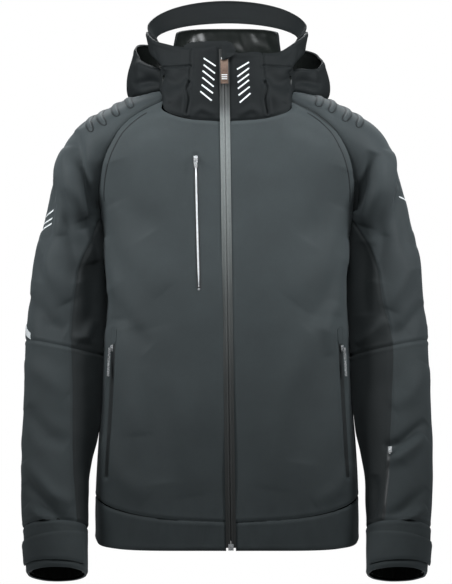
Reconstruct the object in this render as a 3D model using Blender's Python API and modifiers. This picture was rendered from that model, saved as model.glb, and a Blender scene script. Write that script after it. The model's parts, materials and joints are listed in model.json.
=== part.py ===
"""Ski jacket, standing open as if worn: torso shell, raglan sleeves, collar, hood and zips.

Metres, +Z up, front facing -Y, wearer's left at +X. The origin is where the hang loop sits on its peg,
inside the back of the collar.
"""

import math

import bmesh
import bpy
import numpy as np
from mathutils import Matrix, Vector

# Driving dimensions
HEM_Z = -0.731
ARMPIT_Z = -0.262
SEAM_TOP_Z = -0.055
ELBOW_Z = -0.475
CUFF_Z = -0.769
CUFF_SEAM_Z = -0.700
MID_Y = -0.060
FRONT_Y = -0.165
FRONT_SLOPE = 0.062
ZIP_TOP_Z = -0.089
ZIP_X = -0.003
ZIP_SLOPE = 0.014
FABRIC = 0.003
SEAM_GAP = 0.0006
NECK_GAP = 0.0012
ZIP_TAPE_HALF = 0.0062
PANEL_ZIP_EDGE = 0.0080
FRONT_TURN = 65.0
SIDE_TURN = 115.0
PANEL_TURN = 40.0
WIDTH_POWER = 0.82
DEPTH_POWER = 0.68
SIDE_SPLIT = 0.90
SIDE_GAP = 0.030
CAP_START = -0.092
CAP_END_GAP = 0.004
ELBOW_MITRE = 0.060
ELBOW_SLACK = 0.012
SHOULDER_PIVOT = (0.225, MID_Y, -0.200)
HOOD_PIVOT = (0.0, -0.040, 0.030)
LINING_INSET = 0.010
POCKET_INSET = 0.005
INNER_CUFF_INSET = 0.0065
STRAP_HINGE_TURN = 150.0
STRAP_TIP_TURN = -12.0
STRAP_Z = -0.7265
STRAP_LIFT = 0.0034
MAIN_SLIDER = (0.0090, 0.0036, 0.0120)
MAIN_PULLER = (0.0118, 0.0022, 0.0370)
BOTTOM_BOX = (0.0080, 0.0022, 0.0100)
POCKET_SLIDER = (0.0060, 0.0026, 0.0100)
SLEEVE_SLIDER = (0.0060, 0.0026, 0.0090)
CHEST_ZIP = ((0.047, -0.140), (0.042, -0.340))
HAND_ZIP = ((0.1700, -0.424), (0.1815, -0.623))
SLEEVE_ZIP_Z = (-0.592, -0.672)
TAPE_LIFT = 0.0017
SLIDER_LIFT = 0.0028
PIVOT_LIFT = 0.0016
PULLER_TOP = 0.0008
FLAP_LIFT = 0.0065

SHELL = (0.062, 0.070, 0.074)
SHOULDER = (0.090, 0.100, 0.104)
SIDE = (0.035, 0.040, 0.042)
LINING = (0.020, 0.022, 0.023)
TAPE = (0.130, 0.140, 0.140)
METAL = (0.62, 0.63, 0.64)
COPPER = (0.36, 0.24, 0.18)


class Profile:
    """A smooth curve through a few (place, value) keys, level beyond its ends."""

    def __init__(self, *keys):
        keys = sorted(keys)
        self.places = np.array([place for place, _ in keys])
        self.values = np.array([value for _, value in keys])
        self.slopes = np.gradient(self.values, self.places)

    def __call__(self, place):
        place = min(max(place, self.places[0]), self.places[-1])
        step = int(np.clip(np.searchsorted(self.places, place) - 1, 0, len(self.places) - 2))
        width = self.places[step + 1] - self.places[step]
        t = (place - self.places[step]) / width
        low = (1 + 2 * t) * (1 - t) ** 2 * self.values[step] + t * (1 - t) ** 2 * width * self.slopes[step]
        high = t * t * (3 - 2 * t) * self.values[step + 1] + t * t * (t - 1) * width * self.slopes[step + 1]
        return float(low + high)


# Raglan seam, shoulder ridge and sleeve rings, keyed on the height of the seam
seam_x = Profile((-0.055, 0.092), (-0.073, 0.130), (-0.094, 0.157), (-0.124, 0.177), (-0.154, 0.188),
                 (-0.192, 0.193), (-0.229, 0.190), (-0.262, 0.183))
ridge_x = Profile((-0.055, 0.102), (-0.073, 0.151), (-0.094, 0.192), (-0.124, 0.224), (-0.154, 0.246),
                  (-0.192, 0.263), (-0.229, 0.273), (-0.262, 0.281))
ridge_z = Profile((-0.055, -0.040), (-0.073, -0.053), (-0.094, -0.072), (-0.124, -0.092), (-0.154, -0.120),
                  (-0.192, -0.170), (-0.229, -0.207), (-0.262, -0.243))
seam_angle = Profile((-0.055, 90), (-0.094, 95), (-0.124, 102), (-0.154, 112), (-0.192, 130), (-0.229, 153),
                     (-0.262, 180))
cap_depth = Profile((-0.055, 0.040), (-0.073, 0.060), (-0.094, 0.074), (-0.154, 0.080), (-0.192, 0.074),
                    (-0.229, 0.068), (-0.262, 0.062))
sleeve_mid_y = Profile((-0.055, -0.078), (-0.094, -0.067), (-0.154, MID_Y), (-0.420, MID_Y), (-0.520, -0.078),
                       (-0.640, -0.112), (CUFF_Z, -0.151))
sleeve_outer = Profile((-0.262, 0.281), (-0.290, 0.290), (-0.357, 0.299), (-0.414, 0.305), (-0.470, 0.308),
                       (-0.558, 0.311), (-0.658, 0.310), (-0.715, 0.306), (CUFF_Z, 0.301))
sleeve_inner = Profile((-0.262, 0.183), (-0.300, 0.186), (-0.357, 0.187), (-0.414, 0.190), (-0.472, 0.193),
                       (-0.516, 0.198), (-0.558, 0.202), (-0.612, 0.207), (-0.675, 0.209), (CUFF_Z, 0.209))
sleeve_depth = Profile((-0.262, 0.062), (-0.357, 0.063), (-0.430, 0.062), (-0.560, 0.056), (-0.700, 0.051),
                       (CUFF_Z, 0.049))
sleeve_tilt = Profile((-0.262, 11), (-0.300, 7), (-0.340, 3), (-0.400, 0), (CUFF_Z, 0))
sleeve_rise = Profile((-0.262, 0.0095), (-0.300, 0.006), (-0.340, 0.0025), (-0.400, 0.0), (CUFF_Z, 0.0))
sleeve_lean = Profile((-0.262, 0), (-0.400, 0), (-0.470, 11), (-0.540, 16), (CUFF_Z, 17))

# Torso rows
torso_half = Profile((-0.262, 0.183), (-0.300, 0.179), (-0.357, 0.178), (-0.414, 0.182), (-0.472, 0.186),
                     (-0.516, 0.190), (-0.558, 0.194), (-0.636, 0.199), (-0.731, 0.201))
back_y = Profile((-0.022, 0.010), (-0.060, 0.036), (-0.100, 0.058), (-0.160, 0.077), (-0.250, 0.086),
                 (-0.400, 0.080), (-0.560, 0.079), (-0.731, 0.084))
row_turn = Profile((-0.022, 58), (-0.055, 58), (-0.124, 66), (-0.192, 78), (-0.262, 90), (-0.731, 90))
front_neck_z = Profile((0.0, -0.089), (0.25, -0.085), (0.45, -0.078), (0.70, -0.068), (1.0, -0.055))
back_neck_z = Profile((0.0, -0.022), (0.30, -0.024), (0.65, -0.034), (1.0, -0.055))
hem_seam_rise = Profile((0.0, -0.688), (0.30, -0.683), (0.60, -0.672), (0.85, -0.660), (1.0, -0.652))
hem_rise = Profile((0.0, -0.731), (0.60, -0.730), (0.85, -0.725), (1.0, -0.717))


def zip_x(z):
    """Across place of the main zip at a height."""
    return ZIP_X + ZIP_SLOPE * (ZIP_TOP_Z - z)


def front_y(z):
    """Front middle line, straight so that a slider can run along it."""
    return FRONT_Y - FRONT_SLOPE * (ZIP_TOP_Z - z)


def sleeve_point(level, turn, inset=0.0):
    """Left sleeve surface. turn 0 is the outer ridge, 90 the front, -90 the back, 180 the inner side."""
    angle = math.radians(turn)
    if level >= ARMPIT_Z:
        ridge = np.array([ridge_x(level), ridge_z(level)])
        seam = np.array([seam_x(level), level])
        reach = math.cos(math.radians(seam_angle(level)))
        centre = (seam - ridge * reach) / (1 - reach)
        outward = ridge - centre
        depth = cap_depth(level)
        lean = 0.0
    else:
        half = (sleeve_outer(level) - sleeve_inner(level)) / 2
        tilt = math.radians(sleeve_tilt(level))
        centre = np.array([(sleeve_outer(level) + sleeve_inner(level)) / 2, level + sleeve_rise(level)])
        outward = half * np.array([1.0, math.tan(tilt)])
        depth = sleeve_depth(level)
        lean = math.radians(sleeve_lean(level))
    shrink = 1 - inset / max(np.linalg.norm(outward), 0.02)
    depth = depth - inset
    across = centre + outward * shrink * math.cos(angle)
    forward = depth * math.sin(angle)
    y = sleeve_mid_y(level) - forward * math.cos(lean)
    return np.array([across[0], y, across[1] + forward * math.sin(lean)])


def row_end(z, side):
    """Where a torso row ends: the raglan seam above the armpit, the side seam below it."""
    if z < ARMPIT_Z:
        return torso_half(z), MID_Y
    depth = cap_depth(z) * math.sin(math.radians(seam_angle(z)))
    return seam_x(z), sleeve_mid_y(z) - side * depth


def torso_point(z, across, side, inset=0.0):
    """Torso surface on the left half. side is 1 in front and -1 behind, across runs from 0 to 1."""
    end_x, end_y = row_end(z, side)
    turn = math.radians(min(row_turn(z), 89.9))
    start_x = zip_x(z) if side > 0 else 0.0
    start_y = front_y(z) if side > 0 else back_y(z)
    swing = across * turn
    share = (math.sin(swing) / math.sin(turn)) ** WIDTH_POWER if swing > 0 else 0.0
    drop = (1 - math.cos(swing) ** DEPTH_POWER) / (1 - math.cos(turn) ** DEPTH_POWER)
    x = start_x + (end_x - inset - start_x) * share
    y = start_y + (end_y - start_y) * drop + side * inset * (1 - drop)
    return np.array([x, y, z])


def mirrored_row(z, across, side, sign, inset=0.0):
    """Torso surface on either half: sign 1 is the wearer's left, -1 the right."""
    point = torso_point(z, across, side, inset)
    if side < 0:
        return point * np.array([sign, 1, 1])
    offset = point[0] - zip_x(z)
    if sign > 0:
        return point
    end_x = row_end(z, side)[0] - inset
    share = offset / (end_x - zip_x(z))
    return np.array([zip_x(z) - share * (end_x + zip_x(z)), point[1], z])


def neck_point(turn):
    """Neck seam ring: 0 at the front, 90 over the shoulder, 180 at the back."""
    if turn <= FRONT_TURN:
        across = turn / FRONT_TURN
        return torso_point(front_neck_z(across), across, 1)
    if turn <= SIDE_TURN:
        share = (turn - FRONT_TURN) / (SIDE_TURN - FRONT_TURN)
        return sleeve_point(SEAM_TOP_Z, 90 - 180 * share)
    across = (180 - turn) / (180 - SIDE_TURN)
    return torso_point(back_neck_z(across), across, -1)


# Upper edge of the collar front and of the hood sides, keyed on the turn round the neck
edge_x = Profile((0, -0.003), (20, 0.037), (40, 0.072), (60, 0.104), (80, 0.118), (100, 0.121))
edge_y = Profile((0, -0.1576), (20, -0.152), (40, -0.131), (60, -0.096), (80, -0.062), (100, -0.035))
edge_z = Profile((0, 0.028), (20, 0.018), (40, 0.020), (60, 0.034), (80, 0.046), (100, 0.052))


def collar_point(turn, height, inset=0.0):
    """Collar front and hood side surface, height 0 at the neck seam and 1 at the upper edge."""
    low = neck_point(turn)
    high = np.array([edge_x(turn), edge_y(turn), edge_z(turn)])
    point = low + (high - low) * height
    waist = 0.010 * math.sin(math.pi * height) * math.sin(math.radians(min(turn, 90))) ** 2
    out = np.array([math.sin(math.radians(turn)), -math.cos(math.radians(turn)), 0.0])
    return point - out * (waist + inset)


def collar_front_point(turn, height, sign):
    """Collar front on either half, starting beside the zip at turn 0."""
    point = collar_point(turn, height) * np.array([sign, 1, 1])
    middle = collar_point(0, height)
    share = 1 - min(turn / 12, 1)
    start = np.array([zip_x(middle[2]) + sign * PANEL_ZIP_EDGE, front_y(middle[2]), middle[2]])
    return point + (start - middle * np.array([sign, 1, 1])) * share


def back_collar_point(turn, height):
    """Standing back of the collar, inside the hood."""
    low = neck_point(turn) * np.array([0.93, 1, 1]) + np.array([0, -0.003, 0.004])
    swing = math.radians(turn)
    top_z = 0.050 - 0.016 * (1 + math.cos(swing)) ** 1.5
    high = np.array([0.084 * math.sin(swing), -0.072 - 0.080 * math.cos(swing), top_z])
    return low + (high - low) * height


def brim_point(turn, height):
    """Stiff band of the hood, standing free behind the collar."""
    swing = math.radians(turn)
    rise = math.sin(swing - math.pi / 2)
    top = np.array([0.122 * math.sin(swing), -0.040 - 0.104 * math.cos(swing), 0.052 + 0.040 * rise])
    low = np.array([0.109 * math.sin(swing), -0.040 - 0.098 * math.cos(swing), 0.034 + 0.026 * rise])
    return low + (top - low) * height


# The lowered crown of the hood is a trough behind the collar, keyed on the turn round the neck
crown_keys = {
    "rim": ((95, (0.112, -0.052, 0.000)), (112, (0.140, -0.012, 0.017)), (136, (0.122, 0.058, 0.024)),
            (158, (0.074, 0.103, 0.026)), (180, (0.000, 0.118, 0.026))),
    "side": ((95, (0.120, -0.046, -0.022)), (112, (0.152, -0.006, -0.016)), (136, (0.132, 0.068, -0.020)),
             (158, (0.080, 0.112, -0.024)), (180, (0.000, 0.127, -0.025))),
    "floor": ((95, (0.116, -0.045, -0.035)), (112, (0.142, -0.002, -0.042)), (136, (0.118, 0.052, -0.054)),
              (158, (0.070, 0.094, -0.068)), (180, (0.000, 0.108, -0.072))),
    "root": ((95, (0.108, -0.040, -0.024)), (112, (0.112, 0.004, -0.022)), (136, (0.086, 0.036, -0.025)),
             (158, (0.048, 0.050, -0.023)), (180, (0.000, 0.054, -0.022))),
}
crown_lines = {
    name: [Profile(*[(turn, point[axis]) for turn, point in keys]) for axis in range(3)]
    for name, keys in crown_keys.items()
}


def crown_point(turn, depth):
    """Crown surface: depth 0 at the rim, 1 at the root beside the collar."""
    names = ("rim", "side", "floor", "root")
    a, b, c, d = [np.array([line(turn) for line in crown_lines[name]]) for name in names]
    t = depth
    return a * (1 - t) ** 3 + 3 * b * t * (1 - t) ** 2 + 3 * c * t * t * (1 - t) + d * t ** 3


# Object helpers
def material(name, colour, roughness, metallic=0.0):
    """A plain finish for one object."""
    finish = bpy.data.materials.new(name)
    finish.use_nodes = True
    shader = finish.node_tree.nodes["Principled BSDF"]
    shader.inputs["Base Color"].default_value = (*colour, 1)
    shader.inputs["Roughness"].default_value = roughness
    shader.inputs["Metallic"].default_value = metallic
    return finish


def add_object(name, mesh, colour, roughness=0.7, metallic=0.0):
    """Link a mesh as a named object with a finish of its own."""
    mesh.materials.append(material(name, colour, roughness, metallic))
    piece = bpy.data.objects.new(name, mesh)
    parts.objects.link(piece)
    return piece


def sheet(name, rows, colour, inside, thickness=FABRIC, closed=False):
    """A fabric panel lofted through rows of points, thickened towards its inner side."""
    rows = np.array(rows)
    count, width = rows.shape[:2]
    shape = bmesh.new()
    grid = [[shape.verts.new(point) for point in row] for row in rows]
    for i in range(count - 1):
        for j in range(width if closed else width - 1):
            k = (j + 1) % width
            shape.faces.new((grid[i][j], grid[i][k], grid[i + 1][k], grid[i + 1][j]))
    shape.normal_update()
    facing = 0.0
    for face in shape.faces:
        centre = face.calc_center_median()
        facing += face.normal.dot(centre - Vector(inside(centre))) * face.calc_area()
    if facing < 0:
        bmesh.ops.reverse_faces(shape, faces=shape.faces)
    mesh = bpy.data.meshes.new(name)
    shape.to_mesh(mesh)
    shape.free()
    mesh.shade_smooth()
    piece = add_object(name, mesh, colour)
    solid = piece.modifiers.new("thickness", "SOLIDIFY")
    solid.thickness = thickness
    solid.offset = -1
    return piece


def block(name, centre, size, axes, colour, bevel=0.0006, roughness=0.35, metallic=0.0):
    """A small rounded block, with its own axes as columns."""
    shape = bmesh.new()
    bmesh.ops.create_cube(shape, size=1.0, matrix=Matrix.Diagonal((*size, 1)))
    mesh = bpy.data.meshes.new(name)
    shape.to_mesh(mesh)
    shape.free()
    piece = add_object(name, mesh, colour, roughness, metallic)
    piece.matrix_world = Matrix.Translation(centre) @ axes.to_4x4()
    edge = piece.modifiers.new("edges", "BEVEL")
    edge.width = bevel
    edge.segments = 2
    return piece


def put_origin(piece, pivot):
    """Move an object's origin onto its joint without moving its shape."""
    bpy.context.view_layer.update()
    pivot = Vector(pivot)
    world = piece.matrix_world.copy()
    local = Matrix.Translation(-pivot) @ world
    piece.data.transform(local)
    piece.matrix_world = Matrix.Translation(pivot)
    return piece


def pivot_empty(name, place, parent=None):
    """An empty on a joint's axis."""
    pivot = bpy.data.objects.new(name, None)
    pivot.location = place
    parts.objects.link(pivot)
    if parent:
        carry(parent, pivot)
    return pivot


def carry(pivot, piece):
    """Parent a piece to an empty, where it stands."""
    bpy.context.view_layer.update()
    piece.parent = pivot
    piece.matrix_parent_inverse = pivot.matrix_world.inverted()


def steps(start, stop, count):
    return np.linspace(start, stop, count)


def torso_axis(centre):
    return (0.0, MID_Y, centre.z)


def neck_axis(centre):
    return (0.0, -0.070, centre.z)


def crown_axis(centre):
    """A line inside the trough of the lowered crown."""
    return (centre.x * 0.86, centre.y * 0.9 - 0.005, 0.02)


def side_name(base, sign):
    return f"{base}_{'left' if sign > 0 else 'right'}"


def flip(point, sign):
    return np.array(point) * np.array([sign, 1, 1])


def sleeve_axis(sign):
    """Function giving the middle of a sleeve near a point, for telling inside from outside."""

    def middle(centre):
        level = min(max(centre.z, CUFF_Z), -0.12)
        ring = (sleeve_point(level, 0) + sleeve_point(level, seam_angle(level) if level > ARMPIT_Z else 180)) / 2
        return (sign * ring[0], sleeve_mid_y(level), centre.z)

    return middle


# Torso
def front_edge_share(z, sign):
    """Share of a front row at which the panel starts, beside the zip."""
    width = row_end(z, 1)[0] - sign * zip_x(z)
    turn = math.radians(row_turn(z))
    return (PANEL_ZIP_EDGE / width) ** (1 / WIDTH_POWER) * math.sin(turn) / turn


def panel_height(v, high, low, split=5 / 14):
    """Height down a panel, with one row level with the armpit when the panel reaches across it."""
    if high < ARMPIT_Z:
        return high + (low - high) * v
    if v <= split:
        return high + (ARMPIT_Z - high) * v / split
    return ARMPIT_Z + (low - ARMPIT_Z) * (v - split) / (1 - split)


def row_limit(z):
    """How far a panel's row runs: to the raglan seam above the armpit, to the side panel below it."""
    reach = min(1.0, max(0.0, (z - ARMPIT_Z) / 0.030))
    return SIDE_SPLIT + (0.994 - SIDE_SPLIT) * reach


def front_rows(sign, high, low, count, limit, columns=11):
    """Rows of a front piece between two height curves, from the zip to a limit given over height."""
    rows = []
    for v in steps(0, 1, count):
        row = []
        for w in steps(0, 1, columns):
            start = front_edge_share(high(w) + (low(w) - high(w)) * v, sign)
            across = start + (limit(ARMPIT_Z - 1) - start) * w
            z = panel_height(v, high(across), low(across))
            row.append(mirrored_row(z, start + (limit(z) - start) * w, 1, sign))
        rows.append(row)
    return rows


def make_front_panel(sign):
    def top(w):
        return front_neck_z(w) - NECK_GAP

    rows = front_rows(sign, top, lambda w: hem_seam_rise(w) + SEAM_GAP, 15, row_limit)
    sheet(side_name("front_panel", sign), rows, SHELL, torso_axis)


def make_side_panel(sign):
    """Strip under the arm, from the front panel round to the back panel."""
    rows = []
    for z in steps(ARMPIT_Z - 0.004, hem_seam_rise(1), 9):
        front = [mirrored_row(z, w, 1, sign) for w in steps(SIDE_SPLIT + SIDE_GAP, 1, 4)]
        back = [mirrored_row(z, w, -1, sign) for w in steps(1, SIDE_SPLIT + SIDE_GAP, 4)]
        rows.append(front + back[1:])
    sheet(side_name("side_panel", sign), rows, SIDE, torso_axis)


def make_back_panel():
    rows = []
    for v in steps(0, 1, 15):
        row = []
        for w in steps(-1, 1, 19):
            high = back_neck_z(abs(w)) - NECK_GAP
            low = hem_seam_rise(abs(w)) + SEAM_GAP
            z = panel_height(v, high, low)
            row.append(mirrored_row(z, abs(w) * row_limit(z), -1, 1 if w > 0 else -1))
        rows.append(row)
    sheet("back_panel", rows, SHELL, torso_axis)


def make_hem_fronts(sign):
    rows = front_rows(sign, lambda w: hem_seam_rise(w) - SEAM_GAP, hem_rise, 4, lambda z: 0.999)
    sheet(side_name("hem_band_front", sign), rows, SHELL, torso_axis)


def make_hem_back():
    rows = []
    for v in steps(0, 1, 4):
        row = []
        for w in steps(-0.997, 0.997, 23):
            high = hem_seam_rise(abs(w)) - SEAM_GAP
            z = high + (hem_rise(abs(w)) - high) * v
            row.append(mirrored_row(z, abs(w), -1, 1 if w > 0 else -1))
        rows.append(row)
    sheet("hem_band_back", rows, SHELL, torso_axis)


def make_lining():
    """Inner lining of the torso, from one zip edge round the back to the other."""
    rows = []
    for z in steps(-0.275, -0.700, 5):
        right = [mirrored_row(z, w, 1, -1, LINING_INSET) for w in steps(0.12, 1, 9)]
        turns = steps(-1, 1, 17)
        back = [mirrored_row(z, abs(w), -1, 1 if w > 0 else -1, LINING_INSET) for w in turns]
        left = [mirrored_row(z, w, 1, 1, LINING_INSET) for w in steps(1, 0.12, 9)]
        rows.append(right + back[1:-1] + left)
    sheet("body_lining", rows, LINING, torso_axis, thickness=0.0012)


def make_pocket_bag(name, sign, low, high, first, last):
    """Flat pocket bag between the shell and the lining."""
    rows = []
    for z in steps(high, low, 5):
        rows.append([mirrored_row(z, w, 1, sign, POCKET_INSET) for w in steps(first, last, 5)])
    sheet(name, rows, LINING, torso_axis, thickness=0.0016)


# Sleeves
def sleeve_rows(sign, levels, first, last, columns, inset=0.0):
    """Rows round a sleeve between two turns. Each level comes with how far its front is bent up."""
    rows = []
    for level, bend in levels:
        row = []
        for share in steps(0, 1, columns):
            limit = seam_angle(level) if level > ARMPIT_Z else 180.0
            turn = first + (last - first) * share
            turn = turn / 180 * limit if level > ARMPIT_Z else turn
            shifted = level + bend * (1 + math.sin(math.radians(turn))) / 2
            row.append(flip(sleeve_point(shifted, turn, inset), sign))
        rows.append(row)
    return rows


def make_yoke(sign):
    """Shoulder piece beside the neck, part of the raglan sleeve."""
    levels = [(level, 0.0) for level in steps(SEAM_TOP_Z - NECK_GAP, CAP_START, 5)]
    rows = sleeve_rows(sign, levels, 178.5, -178.5, 13)
    sheet(side_name("shoulder_yoke", sign), rows, SHOULDER, lambda c: (sign * 0.10, -0.07, c.z - 0.06))


def make_cap(sign):
    """Shoulder cap, the stretch of sleeve that creases when the arm lifts."""
    levels = [(level, 0.0) for level in steps(CAP_START - SEAM_GAP, ARMPIT_Z + 0.0015, 8)]
    rows = sleeve_rows(sign, levels, 178.5, -178.5, 13)
    sheet(side_name("shoulder_cap", sign), rows, SHOULDER, sleeve_axis(sign))


def make_sleeve_half(name, sign, levels, side):
    """Front half of a stretch of sleeve for side 1, back half for side -1."""
    rows = sleeve_rows(sign, levels, side * 2, side * 178, 11)
    return sheet(side_name(name, sign), rows, SHELL, sleeve_axis(sign))


def make_sleeve_ring(name, sign, levels, colour, columns=20, inset=0.0, thickness=FABRIC):
    """A closed ring of sleeve fabric."""
    rows = []
    for level, bend in levels:
        row = []
        for share in range(columns):
            turn = 360 * share / columns - 180
            bent = level + bend * (1 + math.sin(math.radians(turn))) / 2
            row.append(flip(sleeve_point(bent, turn, inset), sign))
        rows.append(row)
    return sheet(name, rows, colour, sleeve_axis(sign), thickness, closed=True)


def make_sleeve(sign, shoulder, elbow):
    """All pieces of one sleeve below the shoulder, each carried by the empty on its joint."""
    upper_end = ELBOW_Z + ELBOW_SLACK
    lower_start = ELBOW_Z - ELBOW_SLACK
    upper_start = ARMPIT_Z - CAP_END_GAP
    upper = []
    lower = []
    for share in steps(0, 1, 6):
        upper.append((upper_start + (upper_end - upper_start) * share, ELBOW_MITRE * share))
        lower.append((lower_start + (CUFF_SEAM_Z - lower_start) * share, -ELBOW_MITRE * (1 - share)))
    bend = [(upper_end - 0.002, ELBOW_MITRE), (ELBOW_Z, 0.0), (lower_start + 0.002, -ELBOW_MITRE)]
    cuff = [(level, 0.0) for level in steps(CUFF_SEAM_Z - NECK_GAP, CUFF_Z, 4)]
    inner = [(level, 0.0) for level in steps(CUFF_SEAM_Z, CUFF_Z + 0.006, 3)]
    carry(shoulder, make_sleeve_half("upper_sleeve_front", sign, upper, 1))
    carry(shoulder, make_sleeve_half("upper_sleeve_back", sign, upper, -1))
    carry(shoulder, make_sleeve_ring(side_name("elbow_panel", sign), sign, bend, SHELL))
    carry(elbow, make_sleeve_half("forearm_front", sign, lower, 1))
    carry(elbow, make_sleeve_half("forearm_back", sign, lower, -1))
    carry(elbow, make_sleeve_ring(side_name("cuff_band", sign), sign, cuff, SHELL))
    name = side_name("inner_cuff", sign)
    carry(elbow, make_sleeve_ring(name, sign, inner, LINING, inset=INNER_CUFF_INSET, thickness=0.002))


def strap_hinge(sign):
    """Middle of the stitched end of a cuff tab."""
    return flip(sleeve_point(STRAP_Z, STRAP_HINGE_TURN, -STRAP_LIFT), sign)


def make_cuff_strap(sign):
    """Tab across the front of the cuff, hinged at its inner end."""
    rows = []
    for share in steps(0, 1, 4):
        row = []
        for turn in steps(STRAP_HINGE_TURN, STRAP_TIP_TURN, 12):
            narrow = 0.5 - 0.5 * math.cos(math.radians(turn))
            half = 0.017 + 0.007 * narrow
            centre = STRAP_Z - 0.003 * (1 - narrow)
            row.append(flip(sleeve_point(centre + half - 2 * half * share, turn, -STRAP_LIFT), sign))
        rows.append(row)
    return sheet(side_name("cuff_strap", sign), rows, SIDE, sleeve_axis(sign), thickness=0.0024)


# Zips
def strip(name, points, across, half_width, colour, out, thickness=0.0012):
    """A tape laid along a line of points, on the outer side of the fabric."""
    lifted = points + out * TAPE_LIFT
    rows = [[point - across * half_width, point + across * half_width] for point in lifted]
    middle = np.mean(points, axis=0) - out * 0.2
    return sheet(name, rows, colour, lambda c: tuple(middle), thickness)


def make_main_tapes():
    for sign in (-1, 1):
        rows = []
        for z in (0.002, -0.15, -0.30, -0.45, -0.60, HEM_Z + 0.004):
            x, y = zip_x(z), front_y(z) + 0.0006
            rows.append([(x + sign * 0.0005, y, z), (x + sign * ZIP_TAPE_HALF, y, z)])
        sheet(side_name("main_zip_tape", sign), rows, TAPE, lambda c: (0, 0, c.z), thickness=0.0012)


def frame_along(direction, out):
    """Axes for a piece on a zip: X across, Y outwards and Z up along the line."""
    up = Vector(direction).normalized()
    side = Vector(out).cross(up).normalized()
    face = up.cross(side).normalized()
    return Matrix((side, face, up)).transposed()


def make_main_zip():
    """Slider, puller and bottom box of the front zip."""
    make_main_tapes()
    direction = Vector((zip_x(0) - zip_x(-1), front_y(0) - front_y(-1), 1.0)).normalized()
    axes = frame_along(direction, (0, -1, 0))
    z = 0.001
    at = Vector((zip_x(z), front_y(z), z))
    block("main_slider", at + Vector((0, -0.0026, 0)), MAIN_SLIDER, axes, METAL, metallic=1.0)
    pivot = at + Vector((0, -0.0066, 0.001))
    centre = pivot - direction * (MAIN_PULLER[2] / 2 - 0.002)
    puller = block("main_puller", centre, MAIN_PULLER, axes, COPPER, metallic=0.6)
    put_origin(puller, pivot)
    low = HEM_Z + 0.0055
    foot = Vector((zip_x(low), front_y(low), low))
    block("zip_bottom_box", foot + Vector((0, -0.0016, 0)), BOTTOM_BOX, axes, METAL, metallic=1.0)


def surface_share(x, z, sign):
    """Share of a front row whose point lies at a distance x from the middle plane."""
    low, high = 0.0, 1.0
    for _ in range(40):
        middle = (low + high) / 2
        if sign * mirrored_row(z, middle, 1, sign)[0] < x:
            low = middle
        else:
            high = middle
    return (low + high) / 2


def front_surface(x, z, sign):
    """Point and outward direction on the front at a distance x from the middle plane."""
    share = surface_share(x, z, sign)
    point = mirrored_row(z, share, 1, sign)
    beside = mirrored_row(z, share - 0.01, 1, sign) - mirrored_row(z, min(share + 0.01, 1), 1, sign)
    out = np.array([-beside[1], beside[0], 0.0])
    out = out / np.linalg.norm(out)
    if out[1] > 0:
        out = -out
    return point, out


def place_slider(name, points, out, size, colour=METAL):
    """Slider at the top of a tape, lifted so that it clears the tape all the way down."""
    up = (points[0] - points[-1]) / np.linalg.norm(points[0] - points[-1])
    swell = max(float(np.dot(point - points[0], out)) for point in points)
    centre = points[0] + out * (SLIDER_LIFT + max(swell, 0.0) + size[1] / 2) - up * (size[2] / 2 + 0.001)
    axes = frame_along(up, out)
    block(name, Vector(centre), size, axes, colour, metallic=1.0)
    return Vector(centre), axes


def square_to(out, chord):
    """The part of a direction that is square to a line, at unit length."""
    along = chord / np.linalg.norm(chord)
    out = out - along * np.dot(out, along)
    return out / np.linalg.norm(out)


def make_pocket_zip(prefix, suffix, sign, ends, half_width, puller_length):
    """Tape, slider and puller of a pocket zip between two (x, z) places on the front."""
    top, bottom = ends
    places = [(top[0] + (bottom[0] - top[0]) * t, top[1] + (bottom[1] - top[1]) * t) for t in steps(0, 1, 7)]
    found = [front_surface(x, z, sign) for x, z in places]
    points = np.array([point for point, _ in found])
    chord = points[0] - points[-1]
    out = square_to(np.mean([normal for _, normal in found], axis=0), chord)
    across = np.cross(out, chord / np.linalg.norm(chord))
    strip(prefix + "_zip_tape" + suffix, points, across, half_width, TAPE, out)
    centre, axes = place_slider(prefix + "_slider" + suffix, points, out, POCKET_SLIDER)
    pivot = centre + Vector(out) * (POCKET_SLIDER[1] / 2 + PIVOT_LIFT)
    size = (POCKET_SLIDER[0] * 0.8, 0.0018, puller_length)
    hanging = Vector(chord).normalized() * (puller_length / 2 - PULLER_TOP)
    puller = block(prefix + "_puller" + suffix, pivot - hanging, size, axes, METAL, metallic=1.0)
    put_origin(puller, pivot)


def make_forearm_zip(elbow):
    """Small pass pocket on the left forearm."""
    high, low = SLEEVE_ZIP_Z
    shares = steps(0, 1, 5)
    points = np.array([sleeve_point(high + (low - high) * share, 104 + 4 * share) for share in shares])
    chord = points[0] - points[-1]
    out = square_to(np.array([-0.2, -1.0, -0.28]), chord)
    across = np.cross(out, chord / np.linalg.norm(chord))
    carry(elbow, strip("forearm_zip_tape", points, across, 0.0045, TAPE, out))
    place_slider("forearm_slider", points, out, SLEEVE_SLIDER)


# Collar and hood
def make_collar():
    for sign in (-1, 1):
        front = []
        hood_side = []
        for v in steps(0.02, 1, 6):
            front.append([collar_front_point(t, v, sign) for t in steps(0, PANEL_TURN - 0.4, 8)])
            hood_side.append([flip(collar_point(t, v), sign) for t in steps(PANEL_TURN + 0.4, 96, 9)])
        sheet(side_name("collar_front", sign), front, SHELL, neck_axis)
        sheet(side_name("hood_side", sign), hood_side, SHELL, neck_axis)
    rows = []
    for v in steps(0, 1, 5):
        right = [flip(back_collar_point(t, v), -1) for t in steps(112, 180, 9)]
        left = [back_collar_point(t, v) for t in steps(180, 112, 9)]
        rows.append(right + left[1:])
    sheet("collar_back", rows, LINING, neck_axis)


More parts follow.
